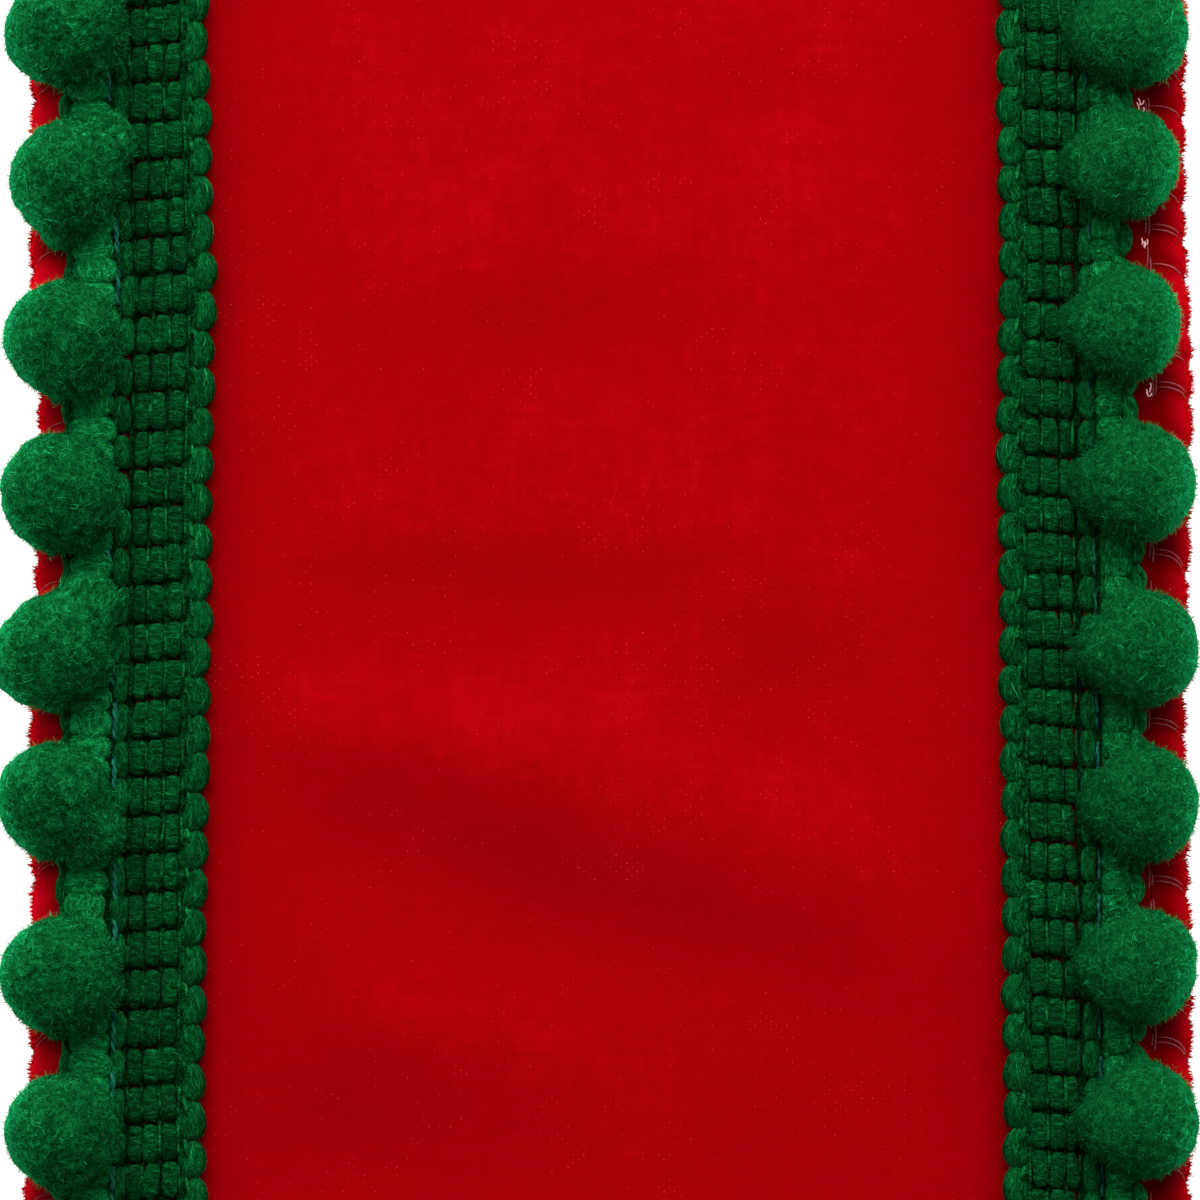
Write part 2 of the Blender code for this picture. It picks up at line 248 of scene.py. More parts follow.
# The fibres on each kind of yarn, those combed along it and then the loose ones: how many, length,
# width, steps, heading or None, stray, curl, the lowest they start, rise, lift, tint, and how much
# they differ. The tints of bundles, edgings and pompoms are added to the trim's own.
FIBRES = {
    "bead": (
        (26, 0.4, 0.030, 4, (1, 0, 0), 0.3, 0.6, 0.0, 1.0, (1.01, 1.05), 0.39, 0.08),
        (26, 0.25, 0.030, 3, None, 0.0, 0.5, -0.2, 1.0, (1.02, 1.14), 0.35, 0.08),
    ),
    "scallop": (
        (60, 0.8, 0.030, 4, (0.2, 1, 0), 0.15, 0.25, -0.1, 1.0, (1.01, 1.04), 0.49, 0.10),
        (50, 0.25, 0.032, 3, None, 0.0, 0.5, -0.2, 1.0, (1.02, 1.12), 0.44, 0.09),
    ),
    "column": ((60, 0.5, 0.030, 4, (0.4, 1, 0), 0.6, 0.7, 0.0, 1.0, (1.02, 1.10), 0.50, 0.09),),
    "bundle": (
        (60, 1.0, 0.030, 4, (1, 0, 0), 0.4, 0.5, 0.0, 1.0, (1.01, 1.07), 0.03, 0.07),
        (40, 0.35, 0.035, 3, None, 0.0, 0.5, -0.1, 1.0, (1.02, 1.10), 0.02, 0.07),
    ),
    "upright": (
        (60, 1.0, 0.030, 4, (0, 1, 0), 0.4, 0.5, 0.0, 1.0, (1.01, 1.07), 0.03, 0.07),
        (40, 0.35, 0.035, 3, None, 0.0, 0.5, -0.1, 1.0, (1.02, 1.10), 0.02, 0.07),
    ),
    "edging": ((32, 0.7, 0.032, 4, (0.3, 1, 0), 0.25, 0.4, -0.1, 1.0, (1.01, 1.08), 0.06, 0.10),),
    "pompom": (
        (1250, 0.85, 0.028, 5, None, 0.0, 0.8, -0.4, 1.0, (1.0, 1.02), 0.43, 1.7),
        (1500, 0.22, 0.042, 3, None, 0.0, 0.4, -0.4, 0.38, (1.0, 1.08), 0.39, 0.8),
    ),
}

# A pompom's stray fibres: the same, without how many.
STRAY = (0.9, 0.022, 6, None, 0.0, 1.0, -0.3, 0.5, (1.03, 1.12), 0.38, 1.0)

# How far outwards of the scallop tips the outer band's bundles reach: y, outwards.
LEFT_BAND = ((-50.8, 7.9), (-24.5, 7.8), (-16.0, 8.1), (-7.0, 8.0), (10.0, 8.1), (50.8, 8.0))
RIGHT_BAND = (
    (-50.8, 7.2), (-15.0, 7.2), (-5.5, 7.4), (3.0, 7.4), (11.5, 7.0), (20.0, 6.7), (50.8, 6.7),
)

# What makes each trim: the value's name, and what it is on the left trim and on the right one.
TRIM_VALUES = (
    ("name", "trim_left", "trim_right"),
    ("seed", 11, 23),
    # Which way is outwards along X, and how far up the first slot lies, in ribs.
    ("side", -1, 1),
    ("phase", 0.50, 0.79),
    ("tips", LEFT_TIPS, RIGHT_TIPS),
    # The fat yarns on a rib: outwards, half width, and how much paler they are; the outermost are
    # darker, as painted shade.
    (
        "beads",
        ((1.96, 0.435, 0.0), (2.95, 0.44, 0.0), (3.86, 0.40, -0.045)),
        ((1.94, 0.435, 0.0), (2.91, 0.435, 0.0), (3.76, 0.32, -0.03)),
    ),
    # The strands between them: outwards, and tint.
    (
        "strands",
        ((1.44, 0.36), (2.455, 0.37), (3.43, 0.35), (4.30, 0.25)),
        ((1.42, 0.36), (2.425, 0.37), (3.40, 0.36), (4.14, 0.31)),
    ),
    # The scallops: outwards, half length, how much painted shade darkens their tips, how much
    # paler they are.
    ("scallop", (0.57, 0.66, 0.20, 0.02), (0.61, 0.67, 0.38, 0.01)),
    # The bundles: their reach, width, how far short of the reach they end, tint and its spread.
    ("band", LEFT_BAND, RIGHT_BAND),
    ("band_width", 2.32, 1.55),
    ("band_end", 0.27, 0.06),
    ("pale", 0.87, 0.71),
    ("pale_spread", 0.02, 0.03),
    # The edging: half width from and to, how far past the bundles' reach it lies, and tint.
    ("edging", (0.22, 0.28, -0.06), (0.38, 0.50, 0.25)),
    ("edging_tint", 0.60, 0.68),
    ("pompoms", LEFT_POMPOMS, RIGHT_POMPOMS),
    # The lobes, how sharply they part from their pompom, and how much darker they are.
    ("lobes", LEFT_LOBES, RIGHT_LOBES),
    ("sharp", 5.0, 12.0),
    ("dim", 0.0, 0.16),
    # The wisp that peaks on each pompom: its angle and its height.
    ("peak", (262, 0.14), (98, 0.24)),
    # How much paler the wool is painted on its curls and darker in its pits, as painted light and
    # shade; round its rim, as painted light; where it faces up the picture, as painted light from
    # above; and all over. A high fall keeps the painted rim light narrow.
    ("mottle", 4.2, 1.7),
    ("rim", LEFT_RIM_LIGHT, RIGHT_RIM_LIGHT),
    ("rim_fall", 1.6, 1.0),
    ("upper", 0.13, 0.0),
    ("fluff", 0.03, 0.080),
    ("fluff_spread", 0.055, 0.08),
    # How many stray fibres a pompom has.
    ("strays", 30, 90),
    # The running stitch: outwards, its radius, and the tint of each ply.
    ("stitch", LEFT_STITCH, RIGHT_STITCH),
    ("stitch_size", 0.17, 0.11),
    ("stitch_tint", (0.46, 0.64), (0.36, 0.52)),
)
TRIMS = tuple({name: pair[i] for name, *pair in TRIM_VALUES} for i in (0, 1))


def unit(v):
    """Vectors of length 1."""
    return v / np.maximum(np.linalg.norm(v, axis=-1, keepdims=True), 1e-12)


def stack(*parts):
    """Points, or faces, from their coordinates or corners: numbers and arrays of one shape."""
    return np.stack(np.broadcast_arrays(*parts), -1)


def eased(t):
    """A share from 0 to 1 with soft ends."""
    t = np.clip(t, 0.0, 1.0)
    return t * t * (3.0 - 2.0 * t)


def along(rows, y):
    """The value of a (y, value) table at each y."""
    ys, values = np.array(rows).T
    i = np.clip(np.searchsorted(ys, y) - 1, 0, len(ys) - 2)
    return values[i] + eased((y - ys[i]) / (ys[i + 1] - ys[i])) * (values[i + 1] - values[i])


def lumpy(points, pitch, seed):
    """Smooth noise from -1 to 1 at points, whose lumps are about one pitch across."""
    side = 24
    grid = np.random.default_rng(seed).uniform(-1.0, 1.0, (side, side, side))
    place = points / pitch
    low = np.floor(place).astype(int)
    share = eased(place - low)
    total = np.zeros(points.shape[:-1])
    for corner in itertools.product((0, 1), repeat=3):
        weight = np.where(np.array(corner) == 1, share, 1.0 - share).prod(-1)
        cell = (low + corner) % side
        total = total + weight * grid[tuple(np.moveaxis(cell, -1, 0))]
    return total


class Mesh:
    """Points and faces that gather into one mesh.

    Each point has a tint from 0 to 1, and a grain: its place along its own yarn.
    """

    def __init__(self):
        self.points, self.tints, self.grains = [], [], []
        self.quads, self.tris, self.count = [], [], 0

    def add(self, points, faces, tint=0.5, grain=None):
        """Adds points, and faces that count from the first of them."""
        points = np.asarray(points, float).reshape(-1, 3)
        tint = np.asarray(tint, float).ravel()
        self.points.append(points)
        self.tints.append(np.broadcast_to(tint, (len(points),)))
        self.grains.append(points if grain is None else np.asarray(grain, float).reshape(-1, 3))
        faces = np.asarray(faces)
        faces = faces.reshape(-1, faces.shape[-1]) + self.count
        (self.quads if faces.shape[-1] == 4 else self.tris).append(faces)
        self.count += len(points)

    def build(self, name, material):
        """The mesh as an object that rides on the part's one body."""
        points = np.concatenate(self.points) * MM
        points[:, 2] = np.maximum(points[:, 2], 0.0)
        quads = np.concatenate(self.quads or [np.zeros((0, 4), int)])
        tris = np.concatenate(self.tris or [np.zeros((0, 3), int)])
        corners = np.concatenate([quads.ravel(), tris.ravel()])
        starts = [np.arange(len(quads)) * 4, quads.size + np.arange(len(tris)) * 3]
        data = bpy.data.meshes.new(name)
        data.vertices.add(len(points))
        data.vertices.foreach_set("co", points.astype(np.float32).ravel())
        data.loops.add(len(corners))
        data.loops.foreach_set("vertex_index", corners.astype(np.int32))
        data.polygons.add(len(quads) + len(tris))
        data.polygons.foreach_set("loop_start", np.concatenate(starts).astype(np.int32))
        data.update(calc_edges=True)
        data.validate()
        tint = data.attributes.new("tint", "FLOAT", "POINT")
        tint.data.foreach_set("value", np.concatenate(self.tints).astype(np.float32))
        grain = data.attributes.new("grain", "FLOAT_VECTOR", "POINT")
        grain.data.foreach_set("vector", np.concatenate(self.grains).astype(np.float32).ravel())
        data.shade_smooth()
        data.materials.append(material)
        obj = in_scene(name, data)
        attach(obj, "root")
        return obj


def ball(level):
    """The points and faces of an icosphere of radius 1."""
    bm = bmesh.new()
    bmesh.ops.create_icosphere(bm, subdivisions=level, radius=1.0)
    ways = unit(np.array([v.co for v in bm.verts]))
    faces = np.array([[v.index for v in f.verts] for f in bm.faces])
    bm.free()
    return ways, faces


def squared(way, power):
    """How far a ball of radius 1 reaches in each direction when a power above 2 squares it."""
    return (np.abs(way) ** power).sum(-1, keepdims=True) ** (-1.0 / power)


class Blobs:
    """Rounded solids, one row each: a middle, three half axes, and how square it is.

    Bow bends them along their second axis, and taper makes that axis' far end slimmer. Swell
    gives how much bigger each solid is in each direction, and shade how much paler, as painted
    light and shade.
    """

    def __init__(self, middle, axes, power=2.0, bow=0.0, taper=0.0, swell=None, shade=None):
        self.middle = np.asarray(middle, float)
        self.axes = np.asarray(axes, float)
        self.power, self.bow, self.taper = power, bow, taper
        self.swell, self.shade = swell, shade
        self.size = np.linalg.norm(self.axes, axis=-1).mean(-1)

    def at(self, who, way, lift=1.0):
        """Points over the middles: way is a unit direction, and lift 1 is the surface."""
        local = way * squared(way, self.power) * np.asarray(lift)
        if self.swell is not None:
            local = local * self.swell(who, way)[..., None]
        x = local[..., 0] * (1.0 + self.taper * local[..., 1]) - self.bow * local[..., 1] ** 2
        local = stack(x, local[..., 1], local[..., 2])
        return self.middle[who] + np.einsum("...i,...ij->...j", local, self.axes[who])


class Part(Blobs):
    """Some of the blobs."""

    def __init__(self, blobs, chosen):
        super().__init__(blobs.middle[chosen], blobs.axes[chosen], blobs.power)
        self.swell = lambda who, way: blobs.swell(chosen[who], way)
        self.shade = lambda who, way: blobs.shade(chosen[who], way)


def solids(
    mesh, rng, blobs, level, tint, spread=0.06, stretch=(1, 1, 1), twist=0.0, crowd=0.0
):
    """Adds every blob's surface. Stretch is how fine its grain is each way, in turns a mm.

    Twist slants the grain, as on a yarn that is spun, and crowd draws the surface's points
    towards its top, where they are seen.
    """
    ways, faces = ball(level)
    ways = unit(ways + (0.0, 0.0, crowd))
    n = len(blobs.middle)
    who = np.repeat(np.arange(n), len(ways)).reshape(n, -1)
    every = np.broadcast_to(ways, (n, *ways.shape))
    points = blobs.at(who, every)
    faces = faces[None] + (np.arange(n) * len(ways))[:, None, None]
    tints = tint + np.repeat(rng.normal(0, spread, n), len(ways)).reshape(n, -1)
    if blobs.shade is not None:
        tints = tints + blobs.shade(who, every)
    half = np.linalg.norm(blobs.axes, axis=-1)[:, None]
    grain = every * squared(ways, blobs.power) * half
    grain[..., 0] += twist * grain[..., 1]
    grain = grain * np.array(stretch) + rng.uniform(0, GRAIN_SPAN, (n, 1, 3))
    mesh.add(points, faces, np.clip(tints, *TINTS), grain)


def strips(mesh, path, side, width, tint):
    """Adds flat fibres along paths (n, steps, 3), pointed at both ends."""
    n, steps = path.shape[:2]
    half = side[:, 1:-1] * np.reshape(width, (-1, 1, 1)) * 0.5
    rungs = np.stack([path[:, 1:-1] - half, path[:, 1:-1] + half], 2).reshape(n, -1, 3)
    points = np.concatenate([path[:, :1], rungs, path[:, -1:]], 1)
    each = 2 * steps - 2
    base = (np.arange(n) * each)[:, None, None]
    ends = np.array([[0, 2, 1], [each - 3, each - 2, each - 1]])
    rung = 1 + 2 * np.arange(steps - 3)
    quads = base + stack(rung, rung + 1, rung + 3, rung + 2) + mesh.count
    # A fibre has one grain all over, a number that its own tint makes as good as random.
    seed = stack(tint * 9770.0, tint * 6130.0, tint * 3310.0) % GRAIN_SPAN
    mesh.add(points, base + ends, np.repeat(tint, each), np.repeat(seed, each, 0))
    if steps > 3:
        mesh.quads.append(quads.reshape(-1, 4))


def hairs(mesh, rng, blobs, fibre, paler=0.0, differ=1.0):
    """Adds curved fibres along the blobs' surfaces.

    They run along their heading, or any way where it is None. Lift is how far out their two ends
    are. No fibre starts below the lowest share, and a low rise gathers them at the blob's waist.
    """
    each, length, width, steps, heading, stray, curl, above, rise, lift, tint, spread = fibre
    n = len(blobs.middle) * each
    who = np.repeat(np.arange(len(blobs.middle)), each)
    way = rng.normal(size=(n, 3)) * (1.0, 1.0, rise)
    low = unit(way)[:, 2] < above
    way[low, 2] *= -1.0
    way = unit(way)
    if heading is None:
        run = rng.normal(size=(n, 3))
    else:
        run = np.array(heading) * rng.choice([-1.0, 1.0], n)[:, None]
        run = run + rng.normal(0, stray, (n, 3))
    long = length * rng.uniform(0.6, 1.4, n)
    step = (long / (steps - 1) / blobs.size[who])[:, None]
    turn = rng.normal(0, curl, n)[:, None]
    ways = [way]
    for _ in range(steps - 1):
        run = unit(run - (run * way).sum(-1, keepdims=True) * way)
        way = unit(way + run * step)
        bend = turn + rng.normal(0, curl * 0.5, (n, 1))
        run = run * np.cos(bend) + np.cross(way, run) * np.sin(bend)
        ways.append(way)
    ways = np.stack(ways, 1)
    low_lift = rng.uniform(0.985, lift[0], n)
    high_lift = low_lift + rng.uniform(0.2, 1.5, n) * (lift[1] - 1.0)
    t = np.linspace(0, 1, steps)[None, :] ** 1.6
    lifts = (low_lift[:, None] * (1 - t) + high_lift[:, None] * t)[..., None]
    whose = np.repeat(who[:, None], steps, 1)
    path = blobs.at(whose, ways, lifts)
    out = unit(blobs.at(whose, ways, lifts + 0.1) - path)
    ahead = unit(np.gradient(path, axis=1))
    side = unit(np.cross(ahead, out))
    tip = rng.normal(0, 0.5, n)[:, None, None]
    side = side * np.cos(tip) + out * np.sin(tip)
    tints = tint + paler + rng.normal(0, spread * differ, n)
    if blobs.shade is not None:
        tints = tints + blobs.shade(who, way)
    strips(mesh, path, side, width * rng.uniform(0.7, 1.3, n), np.clip(tints, *TINTS))


def frames(path):
    """Directions along, across and up from each point of strands (..., steps, 3)."""
    ahead = unit(np.gradient(path, axis=-2))
    across = unit(np.cross(ahead, NEARLY_UP))
    return across, np.cross(across, ahead)


def tubes(mesh, path, radius, sides=6, tint=0.5):
    """Adds round strands along paths (n, steps, 3), closed at both ends."""
    n, steps = path.shape[:2]
    radius = np.broadcast_to(radius, (n, steps))
    across, up = frames(path)
    turn = np.linspace(0, 2 * math.pi, sides, endpoint=False)[:, None]
    ring = across[:, :, None] * np.cos(turn) + up[:, :, None] * np.sin(turn)
    points = path[:, :, None] + ring * radius[:, :, None, None]
    each = steps * sides
    here, after = np.arange(sides), (np.arange(sides) + 1) % sides
    rows = (np.arange(n) * each)[:, None, None] + np.arange(steps - 1)[:, None] * sides
    quads = stack(rows + here, rows + after, rows + after + sides, rows + here + sides)
    tint = np.asarray(tint, float).reshape(-1, 1)
    mesh.add(points, quads, np.broadcast_to(tint, (n, each)))
    # A point in the middle of each end, and triangles round it.
    one = np.arange(n)[:, None]
    first, last = (one - n) * each, (one - n + 1) * each - sides
    foot = stack(2 * one, first + after, first + here)
    head = stack(2 * one + 1, last + here, last + after)
    middles = np.stack([path[:, 0], path[:, -1]], 1)
    mesh.add(middles, np.stack([foot, head], 2), np.broadcast_to(tint, (n, 2)))


def twisted(mesh, path, radius, tints):
    """Adds a twisted yarn along one path (steps, 3), with a ply for each tint."""
    far = np.concatenate([[0], np.cumsum(np.linalg.norm(np.diff(path, axis=0), axis=1))])
    s = np.linspace(0, far[-1], max(int(far[-1] / PLY_PITCH * 8), 6))
    line = stack(*(np.interp(s, far, path[:, i]) for i in range(3)))
    across, up = frames(line)
    ply = radius * PLY_SHARE
    ends = np.minimum(1.0, np.minimum(s, s[::-1]) / (1.2 * radius) + 0.35)[:, None]
    made = []
    for k in range(len(tints)):
        turn = (2 * math.pi * (s / PLY_PITCH + k / len(tints)))[:, None]
        made.append(line + (across * np.cos(turn) + up * np.sin(turn)) * (radius - ply) * ends)
    tubes(mesh, np.array(made), ply * ends[:, 0], 5, tints)


# Materials

# The grain of pile and wool, in features a metre; the velvet's weave, across and along, and the
# colour of its ground.
FINE_GRAIN = 9000.0
WEAVE_PITCH = (0.587, 0.445)
GROUND = (0.55, 0.033, 0.033, 1.0)

# Each material's colours by tint, in linear light.
VELVET_STOPS = (
    (0.0, (0.10, 0.0001, 0.0010)),
    (0.5, (0.275, 0.0001, 0.0020)),
    (1.0, (0.80, 0.0016, 0.0130)),
)
YARN_STOPS = (
    (0.0, (0.0004, 0.0055, 0.0011)),
    (0.3, (0.0014, 0.035, 0.0070)),
    (0.6, (0.0030, 0.107, 0.0230)),
    (0.85, (0.0055, 0.196, 0.044)),
    (1.0, (0.010, 0.38, 0.090)),
)
FLUFF_STOPS = (
    (0.0, (0.0005, 0.010, 0.0022)),
    (0.3, (0.0018, 0.050, 0.0105)),
    (0.6, (0.0040, 0.130, 0.029)),
    (0.8, (0.0065, 0.230, 0.056)),
    (1.0, (0.010, 0.42, 0.125)),
)


def shader(name, roughness, sheen=0.0, sheen_tint=(1, 1, 1), specular=0.0):
    """A Principled material and the parts of its node tree."""
    material = bpy.data.materials.new(name)
    material.use_nodes = True
    tree = material.node_tree
    bsdf = tree.nodes["Principled BSDF"]
    looks = {"Roughness": roughness, "Specular IOR Level": specular, "Sheen Weight": sheen}
    feed(tree, bsdf, {**looks, "Sheen Roughness": 0.5, "Sheen Tint": (*sheen_tint, 1.0)})
    return material, tree, bsdf


def feed(tree, made, inputs):
    """Gives a node its inputs, which are values or sockets."""
    for key, value in inputs.items():
        if isinstance(value, bpy.types.NodeSocket):
            tree.links.new(value, made.inputs[key])
        else:
            made.inputs[key].default_value = value


def node(tree, kind, inputs, **settings):
    """A node with its settings and its inputs."""
    made = tree.nodes.new(kind)
    for key, value in settings.items():
        setattr(made, key, value)
    feed(tree, made, inputs)
    return made


def math_node(tree, operation, a, b=0.0, c=0.0, clamp=False):
    """The result of a Math node."""
    inputs = {0: a, 1: b, 2: c}
    made = node(tree, "ShaderNodeMath", inputs, operation=operation, use_clamp=clamp)
    return made.outputs[0]


def added(tree, value, *terms):
    """A value with each socket added to it, times its own size."""
    for socket, size in terms:
        value = math_node(tree, "MULTIPLY_ADD", socket, size, value)
    return value


def coloured(tree, bsdf, fac, stops):
    """Gives the surface, and returns, the colour that a ramp has at fac."""
    made = node(tree, "ShaderNodeValToRGB", {"Fac": fac})
    elements = made.color_ramp.elements
    while len(elements) < len(stops):
        elements.new(0.5)
    for element, (place, colour) in zip(elements, stops):
        element.position = place
        element.color = (*colour, 1.0)
    feed(tree, bsdf, {"Base Color": made.outputs["Color"]})
    return made.outputs["Color"]


def bumped(tree, bsdf, height, strength, distance):
    """Gives the surface bumps, up to a distance in metres."""
    inputs = {"Strength": strength, "Distance": distance, "Height": height}
    feed(tree, bsdf, {"Normal": node(tree, "ShaderNodeBump", inputs).outputs["Normal"]})


def noise(tree, where, scale, detail=2.0, rough=0.5, warp=0.0):
    """Noise from 0 to 1, with about so many features as scale for each unit of where."""
    inputs = {"Vector": where, "Scale": scale, "Detail": detail, "Roughness": rough}
    inputs["Distortion"] = warp
    return node(tree, "ShaderNodeTexNoise", inputs).outputs[0]


def threads(tree, where, scale, warp):
    """Thin bright lines from 0 to 1, as of fibres that cross each other."""
    waves = noise(tree, where, scale, 1.0, 0.5, warp)
    off = math_node(tree, "ABSOLUTE", math_node(tree, "SUBTRACT", waves, 0.5))
    return math_node(tree, "MULTIPLY_ADD", off, -15.0, 1.0, clamp=True)


def attribute(tree, name, output):
    """What each point of the mesh has under a name."""
    return node(tree, "ShaderNodeAttribute", {}, attribute_name=name).outputs[output]


def place_and_tint(tree):
    """Where a point of the mesh is, in metres, and its tint."""
    where = node(tree, "ShaderNodeTexCoord", {}).outputs["Object"]
    return where, attribute(tree, "tint", "Fac")


def yarn_material(name, stops, pit, depth, warp, net_size, fine_size):
    """Spun wool: a tint for each fibre, a net of finer ones along its own grain, and pits."""
    material, tree, bsdf = shader(name, 0.95, 0.1, (0.02, 0.8, 0.2))
    where, tint = place_and_tint(tree)
    along_yarn = attribute(tree, "grain", "Vector")
    net = threads(tree, along_yarn, 1.0, warp)
    for scale in (1.8, 3.1):
        net = math_node(tree, "MAXIMUM", net, threads(tree, along_yarn, scale, warp))
    pits = noise(tree, along_yarn, pit, 2.0, 0.6, warp)
    fine = noise(tree, where, FINE_GRAIN, 2.0, 0.6)
    # Painted light and shade: the colour is paler where the net and pits raise the bump, darker
    # where they lower it.
    mixed = added(tree, tint, (net, net_size), (pits, depth), (fine, fine_size))
    # What the three add on average is taken off again.
    level = 0.03 + 0.45 * net_size + 0.5 * (fine_size + depth)
    coloured(tree, bsdf, math_node(tree, "SUBTRACT", mixed, level), stops)
    bumped(tree, bsdf, added(tree, net, (pits, 3.0)), 1.0, 0.0001)
    return material


def velvet_material():
    """Red cut pile with the pinpoints of its ground weave."""
    material, tree, bsdf = shader("velvet_red", 0.9, 0.8, (1.0, 0.01, 0.01))
    where, tint = place_and_tint(tree)
    fine = noise(tree, where, FINE_GRAIN, 2.0, 0.6)
    patch = noise(tree, where, 900.0, 3.0, 0.65)
    broad = noise(tree, where, 130.0, 2.0)
    mixed = added(tree, tint, (fine, 0.08), (patch, 0.10), (broad, 0.09))
    for stretch in ((1.0, 0.2, 1.0), (0.2, 1.0, 1.0)):
        inputs = {0: where, 1: stretch}
        threads_at = node(tree, "ShaderNodeVectorMath", inputs, operation="MULTIPLY")
        mixed = added(tree, mixed, (noise(tree, threads_at.outputs[0], 2200.0, 1.0), 0.06))
    mixed = math_node(tree, "SUBTRACT", mixed, 0.195)
    pile = coloured(tree, bsdf, mixed, VELVET_STOPS)
    # Pinpoints of light ground where the pile parts, on the weave's lattice.
    split = node(tree, "ShaderNodeSeparateXYZ", {"Vector": where})
    waves = []
    for axis, pitch in enumerate(WEAVE_PITCH):
        turns = math_node(tree, "MULTIPLY", split.outputs[axis], 2 * math.pi / (pitch * MM))
        waves.append(math_node(tree, "COSINE", turns))
    lattice = math_node(tree, "MULTIPLY", *waves)
    point = math_node(tree, "GREATER_THAN", lattice, 0.93)
    patchy = noise(tree, where, 230.0, 3.0, 0.7)
    speckle = noise(tree, where, 3100.0, 1.0)
    both = math_node(tree, "ADD", speckle, patchy)
    some = math_node(tree, "MULTIPLY_ADD", both, 4.0, -4.455, clamp=True)
    shown = math_node(tree, "MULTIPLY", point, some)
    inputs = {"Factor": shown, "A": pile, "B": GROUND}
    colour = node(tree, "ShaderNodeMix", inputs, data_type="RGBA")
    feed(tree, bsdf, {"Base Color": colour.outputs["Result"]})
    bumped(tree, bsdf, fine, 0.3, 0.00004)
    return material


def plain_material(name, colour, dark, roughness, specular, alpha=1.0, scale=7000.0, glow=0.0):
    """A material for thread, that runs from dark to its own colour. Glow is emission, a painted
    glint.
    """
    material, tree, bsdf = shader(name, roughness, specular=specular)
    where, tint = place_and_tint(tree)
    fine = math_node(tree, "ADD", noise(tree, where, scale), tint)
    share = math_node(tree, "SUBTRACT", fine, 0.5)
    coloured(tree, bsdf, share, ((0.3, dark), (0.7, colour)))
    looks = {"Emission Color": (*colour, 1.0), "Emission Strength": glow, "Alpha": alpha}
    feed(tree, bsdf, looks)
    return material


YARN = yarn_material(
    "yarn_green", YARN_STOPS, pit=1.3, depth=1.4, warp=0.3, net_size=0.37, fine_size=0.38
)
FLUFF = {
    trim: yarn_material(name, FLUFF_STOPS, 1.5, depth, 0.9, net_size, fine_size)
    for trim, name, depth, net_size, fine_size in (
        ("trim_left", "fluff_green_left", 1.7, 0.21, 0.22),
        ("trim_right", "fluff_green_right", 1.3, 0.15, 0.15),
    )
}
VELVET = velvet_material()
TEAL = plain_material(
    "thread_teal", (0.013, 0.160, 0.095), (0.0008, 0.020, 0.019), 0.9, 0.0, scale=1500.0
)
CLEAR = plain_material(
    "filament_clear", (0.95, 0.24, 0.30), (0.60, 0.10, 0.13), 0.25, 0.3, 0.32
)
# The knots glow: painted glints, brighter than their lighting makes them.
KNOT = plain_material(
    "filament_glowing_glint", (1.0, 0.62, 0.66), (0.85, 0.32, 0.36), 0.2, 0.6, glow=0.35
)


# Velvet


def hollow_depth(x, y):
    """How far the velvet dips at each point."""
    total = np.zeros(np.broadcast(x, y).shape)
    for hx, hy, long, wide, angle, depth in HOLLOWS:
        turn = math.radians(angle)
        dx, dy = x - hx, y - hy
        a = (dx * math.cos(turn) + dy * math.sin(turn)) / long
        b = (dy * math.cos(turn) - dx * math.sin(turn)) / wide
        total = total + depth * np.exp(-a * a - b * b)
    fade = 1.0 - eased((np.abs(x) - WAVE_FULL_TO) / (WAVE_GONE_AT - WAVE_FULL_TO))
    return fade * total


def hem_section(turns):
    """The rolled hem's outline from its lowest inner point round to its top, as (inwards, z)."""
    across, up = np.cos(turns), np.sin(turns)
    inwards = HEM_HALF_X - HEM_HALF_X * np.sign(across) * np.abs(across) ** HEM_SQUARE
    return inwards, HEM_HALF_Z + HEM_HALF_Z * np.sign(up) * np.abs(up) ** HEM_SQUARE


def hem_rise(inwards):
    """How far a groove has climbed at a point of the hem: fast at the edge, then level."""
    turn = np.arccos(1.0 - np.minimum(inwards, 2 * HEM_HALF_X) / HEM_HALF_X)
    return GROOVE_CLIMB * (1.0 - (1.0 - np.minimum(turn / GROOVE_LEVEL, 1.0)) ** 2)


def hem_phase(inwards, y, side):
    """Where a point lies among the hem's grooves: whole at a groove."""
    wander = GROOVE_WANDER * np.sin(y * 0.9 + side)
    start = 0.0 if side < 0 else GROOVE_START
    return (y - hem_rise(inwards)) / GROOVE_PITCH + wander + start


def hem_groove(inwards, y, side):
    """The slanting grooves that the overlock pulls into a hem, from 0 to 1."""
    phase = hem_phase(inwards, y, side)
    return np.exp(-(((phase - np.round(phase)) / GROOVE_SHARE) ** 2))


def hem_pull(inwards, groove):
    """A point of the hem as far inwards as its groove pulls it."""
    return inwards + GROOVE_PULL * groove * (1.0 - inwards / GROOVE_END)


def trim_painted_shade(x, y):
    """How much painted shade the velvet gets beside the trims, from 0 to 1."""
    reach = np.minimum(along(RIGHT_TIPS, y) - x - 0.3, x - along(LEFT_TIPS, y))
    reach = np.maximum(reach, 0.0)
    return 0.56 * (1.0 - eased(reach / 1.2)) + 0.44 * np.exp(-reach / 2.2)


def velvet_middle(x, y):
    """The velvet between its hems at each point: the height of both sides, and its tint."""
    dip = hollow_depth(x, y)
    beyond = np.maximum(x - along(RIGHT_TIPS, y), along(LEFT_TIPS, y) - x)
    # Painted shade beside the trims and in the hollows, and painted light on the crests.
    tint = VELVET_TINT - TRIM_SHADE * trim_painted_shade(x, y) - DIP_SHADE * dip
    # Painted shade: darker towards the bottom of the picture.
    tint = tint - LOWER_SHADE * eased((-14.0 - y) / 8.0)
    # Painted light that makes the velvet under the trims paler, beyond the scallop tips.
    tint = tint + BEYOND_SHINE * eased((beyond - 0.8) / 1.2)
    return RIBBON_TOP - dip, np.maximum(RIBBON_UNDER - dip, LOWEST_UNDER), tint


